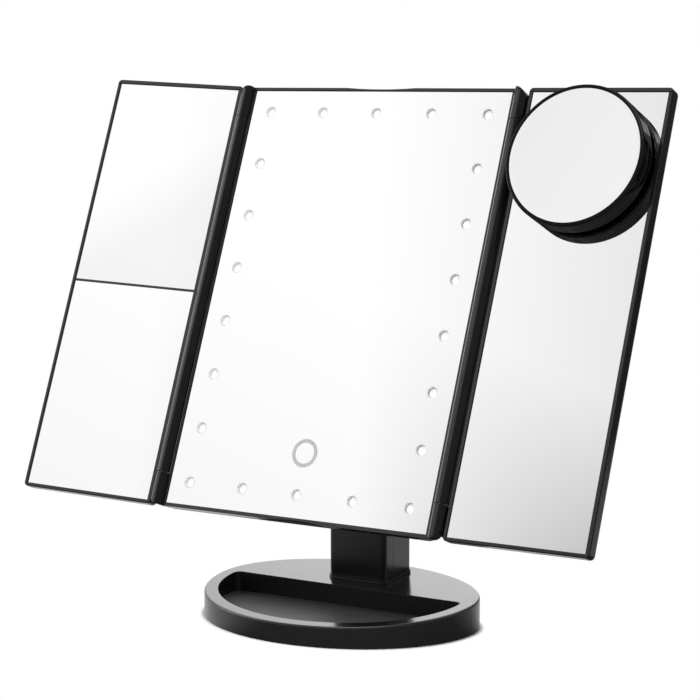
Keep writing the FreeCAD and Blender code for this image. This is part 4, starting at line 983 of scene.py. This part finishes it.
def ridged_pad():
    pad = start_disc("ridged_pad", PAD_RADIUS, 0.0, PAD_HEIGHT, PAD_SIDES)
    pad.data.materials.append(PAD_RUBBER)
    edit(pad)
    pick_faces(pad, lambda centre, normal: normal.z < -FACING)
    inset(PAD_RIM)
    inset(GROOVE_SLOPE, -GROOVE_DEPTH)
    inset(GROOVE_FLOOR)
    inset(GROOVE_SLOPE, GROOVE_DEPTH)
    inset(RIDGE_WIDTH)
    inset(GROOVE_SLOPE, -GROOVE_DEPTH)
    outside = PAD_RADIUS - PAD_RIM / 2
    pick_edges(pad, lambda a, b: max(a.z, b.z) < HAIR and min(a.xy.length, b.xy.length) > outside)
    bevel(PAD_EDGE, 3)
    done()
    return pad


pad_places = [at(x, y, 0.0) for x, y in PAD_SPOTS]
pads = set_out(ridged_pad(), pad_places, "ridged_rubber_pads")
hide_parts("base_feet")
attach(pads, "stand")

# Printed off and on marks beside the slide switch
COLUMN_BACK = 48.55
SWITCH_LEVEL = 35.2
MARK_ACROSS = 7.4
MARK_REACH = 1.1
MARK_HEIGHT = 0.06
OFF_LINE = 0.3
OFF_SIDES = 28
ON_HALF_WIDTH = 0.16
ON_ROUND = 0.1
REAR_TURN = Matrix.Rotation(math.radians(-90.0), 4, "X")


def off_mark():
    ring = start_disc("off_mark", MARK_REACH, 0.0, MARK_HEIGHT, OFF_SIDES)
    edit(ring)
    pick_faces(ring, lambda centre, normal: abs(normal.z) > FACING)
    inset(OFF_LINE)
    pick_faces(ring, lambda centre, normal: abs(normal.z) > FACING and centre.xy.length < NEAR_MIDDLE)
    bpy.ops.mesh.bridge_edge_loops()
    done()
    return ring


def on_mark():
    bar = start_block("on_mark", (-ON_HALF_WIDTH, -MARK_REACH, 0.0),
                      (ON_HALF_WIDTH, MARK_REACH, MARK_HEIGHT))
    edit(bar)
    pick_edges(bar, lambda a, b: abs(a.z - b.z) > MARK_HEIGHT / 2)
    bevel(ON_ROUND, 3)
    done()
    return bar


MARKS = ((off_mark(), -MARK_ACROSS, "switch_off_mark"), (on_mark(), MARK_ACROSS, "switch_on_mark"))
for pattern, x, name in MARKS:
    pattern.data.materials.append(MARK_WHITE)
    mark = set_out(pattern, [at(x, COLUMN_BACK, SWITCH_LEVEL) @ REAR_TURN], name)
    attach(mark, "stand")

# Camera at the photograph's angle
CAMERA_PLACE = (0.6058, -0.9655, 0.2847)
CAMERA_ROUND = math.radians(31.75)
CAMERA_DOWN = 7.24
CAMERA_LENS = 113.64
CAMERA_SENSOR = 36.0
CAMERA_SHIFT = (0.00096, 0.00914)
camera_data = bpy.data.cameras.new("photo_camera")
camera = bpy.data.objects.new("photo_camera", camera_data)
bpy.context.scene.collection.objects.link(camera)
camera.location = CAMERA_PLACE
camera.rotation_euler = (math.radians(90.0 - CAMERA_DOWN), 0.0, CAMERA_ROUND)
camera_data.sensor_width = CAMERA_SENSOR
camera_data.lens = CAMERA_LENS
camera_data.shift_x, camera_data.shift_y = CAMERA_SHIFT
camera_data.clip_start = 0.05
camera_data.clip_end = 50.0
bpy.context.scene.camera = camera

# Ways from the mirror to the unlit and the brightest parts of the studio, which only reflections show
OPEN_CORNER = Vector((0.60, -0.78, -0.15))
DARK_WALL = Vector((0.46, 0.88, 0.05))
BRIGHT_WALL = Vector((-0.42, 0.855, 0.30))


def looks_at(tree, way, target, start, full, most):
    """How far a way looks at a part of the studio, from 0 to the most that this part changes the light."""
    return spread(tree, along(tree, way, target), start, full, 0.0, most)


# Pale floor, in metres. The stops are a distance from the mirror and how much a reflection loses there.
FLOOR_SIZE = 12.0
FLOOR_GREY = (0.93, 0.93, 0.93, 1.0)
BASE_HALF_WIDTH = 77.5 * MM
BASE_MIDDLE = 7.5 * MM
BASE_FRONT = 65.2 * MM
BASE_REAR = 50.2 * MM
SHADOW_REACH = 1.04
CORNER_STOPS = ((0.2, 0.88), (0.32, 0.4), (0.8, 0.4), (1.1, 0.5))
WALL_STOPS = ((0.5, 0.0), (0.8, 0.9))


def base_reach(tree, place):
    """How far out a point of the floor lies from the middle of the base, 1 at the base's outline."""
    behind = arithmetic(tree, "SUBTRACT", part_of(tree, place, "Y"), BASE_MIDDLE)
    deep = larger(tree, arithmetic(tree, "DIVIDE", behind, BASE_REAR),
                  arithmetic(tree, "DIVIDE", behind, -BASE_FRONT))
    spot = add_node(tree, "ShaderNodeCombineXYZ")
    wire(tree, arithmetic(tree, "DIVIDE", part_of(tree, place, "X"), BASE_HALF_WIDTH), spot.inputs["X"])
    wire(tree, deep, spot.inputs["Y"])
    return vector_step(tree, "LENGTH", spot.outputs["Vector"]).outputs["Value"]


def pale_floor():
    """Floor that is lit and takes the shadow close round the base, and is plain white further out.

    Reflections show it white but for its unlit parts.
    """
    bpy.ops.object.select_all(action="DESELECT")
    bpy.ops.mesh.primitive_plane_add(size=FLOOR_SIZE, location=(0.0, 0.0, 0.0))
    plane = bpy.context.object
    plane.name = "studio_floor"
    material, tree, shader = new_material("Pale studio floor")
    set_input(shader, "Base Color", FLOOR_GREY)
    set_input(shader, "Roughness", 0.85)
    set_input(shader, "Specular IOR Level", 0.1)
    place = object_place(tree)
    path = add_node(tree, "ShaderNodeLightPath")
    reflected = path.outputs["Is Glossy Ray"]
    fade = add_node(tree, "ShaderNodeMapRange", interpolation_type="SMOOTHSTEP")
    wire(tree, base_reach(tree, place), fade.inputs["Value"])
    set_input(fade, "From Min", 1.0)
    set_input(fade, "From Max", SHADOW_REACH)
    seen = larger(tree, path.outputs["Is Camera Ray"], path.outputs["Is Transmission Ray"])
    plain = larger(tree, product(tree, seen, fade.outputs["Result"]), reflected)
    away = vector_step(tree, "LENGTH", place).outputs["Value"]
    way = vector_step(tree, "NORMALIZE", place).outputs["Vector"]
    corner = looks_at(tree, way, OPEN_CORNER, 0.08, 0.5, 1.0)
    wall = looks_at(tree, way, DARK_WALL, 0.55, 0.85, 1.0)
    unlit = larger(tree, product(tree, corner, profile(tree, away, CORNER_STOPS)),
                   product(tree, wall, profile(tree, away, WALL_STOPS)))
    white = add_node(tree, "ShaderNodeEmission")
    level = arithmetic(tree, "SUBTRACT", 1.0, product(tree, unlit, reflected))
    wire(tree, level, white.inputs["Strength"])
    mix = add_node(tree, "ShaderNodeMixShader")
    wire(tree, plain, mix.inputs["Fac"])
    wire(tree, shader.outputs["BSDF"], mix.inputs[1])
    wire(tree, white.outputs["Emission"], mix.inputs[2])
    wire(tree, mix.outputs["Shader"], tree.nodes["Material Output"].inputs["Surface"])
    plane.data.materials.append(material)
    return plane


floor = pale_floor()

# White surround. The stops are a height of the way and how much a reflection loses there.
SURROUND_LIGHT = 0.6
HEIGHT_STOPS = ((0.05, 0.55), (0.3, 0.25))


def white_surround():
    """World that is plain white where it is seen, softer where it lights, and uneven in reflections."""
    world = bpy.data.worlds.new("white_studio")
    bpy.context.scene.world = world
    world.use_nodes = True
    tree = world.node_tree
    tree.nodes.clear()
    path = add_node(tree, "ShaderNodeLightPath")
    reflected = path.outputs["Is Glossy Ray"]
    seen = larger(tree, path.outputs["Is Camera Ray"], path.outputs["Is Transmission Ray"])
    plain = spread(tree, larger(tree, seen, reflected), 0.0, 1.0, SURROUND_LIGHT, 1.0)
    way = add_node(tree, "ShaderNodeTexCoord").outputs["Generated"]
    height = part_of(tree, way, "Z")
    corner = looks_at(tree, way, OPEN_CORNER, 0.3, 0.7, 1.0)
    wall = looks_at(tree, way, DARK_WALL, 0.75, 0.93, 0.8)
    unlit = larger(tree, product(tree, corner, profile(tree, height, HEIGHT_STOPS)), wall)
    bright = looks_at(tree, way, BRIGHT_WALL, 0.97, 0.995, 0.5)
    level = arithmetic(tree, "ADD", plain, product(tree, bright, reflected))
    level = arithmetic(tree, "SUBTRACT", level, product(tree, unlit, reflected))
    background = add_node(tree, "ShaderNodeBackground")
    set_input(background, "Color", (1.0, 1.0, 1.0, 1.0))
    wire(tree, level, background.inputs["Strength"])
    output = add_node(tree, "ShaderNodeOutputWorld")
    wire(tree, background.outputs["Background"], output.inputs["Surface"])


white_surround()

# White card in front on the left, in metres, seen only in reflections, greyer to the right and lower down
CARD_PLACE = Vector((-0.42, -0.55, 0.57))
CARD_AIM = Vector((0.0, 0.0, 0.17))
CARD_SIZE = 0.74
CARD_LEVEL = 1.02
CARD_LEFT = -0.40
CARD_RIGHT = 0.10
CARD_HIGH = 0.60
CARD_LOW = 0.10
FALL_RIGHT = 1.05
FALL_LOW = 0.37
FALL_LOW_RIGHT = 12.6
FALL_MOST = 0.6


def reflector_card():
    bpy.ops.object.select_all(action="DESELECT")
    bpy.ops.mesh.primitive_plane_add(size=CARD_SIZE, location=CARD_PLACE)
    plane = bpy.context.object
    plane.name = "reflector_card"
    plane.rotation_euler = (CARD_AIM - CARD_PLACE).to_track_quat("Z", "Y").to_euler()
    material = bpy.data.materials.new("White reflector card")
    material.use_nodes = True
    tree = material.node_tree
    tree.nodes.clear()
    place = add_node(tree, "ShaderNodeNewGeometry").outputs["Position"]
    to_right = spread(tree, part_of(tree, place, "X"), CARD_LEFT, CARD_RIGHT, 0.0, 0.5)
    lower = spread(tree, part_of(tree, place, "Z"), CARD_HIGH, CARD_LOW, 0.0, 0.5)
    fall = arithmetic(tree, "ADD", product(tree, to_right, FALL_RIGHT), product(tree, lower, FALL_LOW))
    low_right = product(tree, product(tree, to_right, lower), FALL_LOW_RIGHT)
    fall = arithmetic(tree, "MINIMUM", arithmetic(tree, "ADD", fall, low_right), FALL_MOST)
    glow = add_node(tree, "ShaderNodeEmission")
    wire(tree, arithmetic(tree, "SUBTRACT", CARD_LEVEL, fall), glow.inputs["Strength"])
    output = add_node(tree, "ShaderNodeOutputMaterial")
    wire(tree, glow.outputs["Emission"], output.inputs["Surface"])
    plane.data.materials.append(material)
    plane.visible_camera = False
    plane.visible_diffuse = False
    plane.visible_transmission = False
    plane.visible_shadow = False
    return plane


card = reflector_card()


# Lamps, in metres and watts
def soft_lamp(name, place, aim, wide, tall, power, mirrored, lights):
    """A flat lamp. It shows in reflections where it is mirrored, and falls on surfaces where it lights."""
    lamp_data = bpy.data.lights.new(name, "AREA")
    lamp_data.shape = "RECTANGLE"
    lamp_data.size = wide
    lamp_data.size_y = tall
    lamp_data.energy = power
    lamp = bpy.data.objects.new(name, lamp_data)
    bpy.context.scene.collection.objects.link(lamp)
    lamp.location = place
    lamp.rotation_euler = (Vector(aim) - Vector(place)).to_track_quat("-Z", "Y").to_euler()
    lamp.visible_camera = False
    lamp.visible_glossy = mirrored
    lamp.visible_diffuse = lights


soft_lamp("key_lamp", place=(0.25, -0.45, 2.0), aim=(0.0, 0.0, 0.1), wide=1.3, tall=1.3, power=19.0,
          mirrored=True, lights=True)
soft_lamp("left_strip", place=(-0.87, -0.21, 0.47), aim=(0.0, 0.0, 0.17), wide=0.40, tall=1.0, power=3.8,
          mirrored=True, lights=False)
soft_lamp("fill_lamp", place=(1.6, -0.9, 1.2), aim=(0.0, 0.0, 0.12), wide=1.1, tall=1.1, power=6.0,
          mirrored=False, lights=True)

bpy.context.scene.view_settings.view_transform = "Standard"
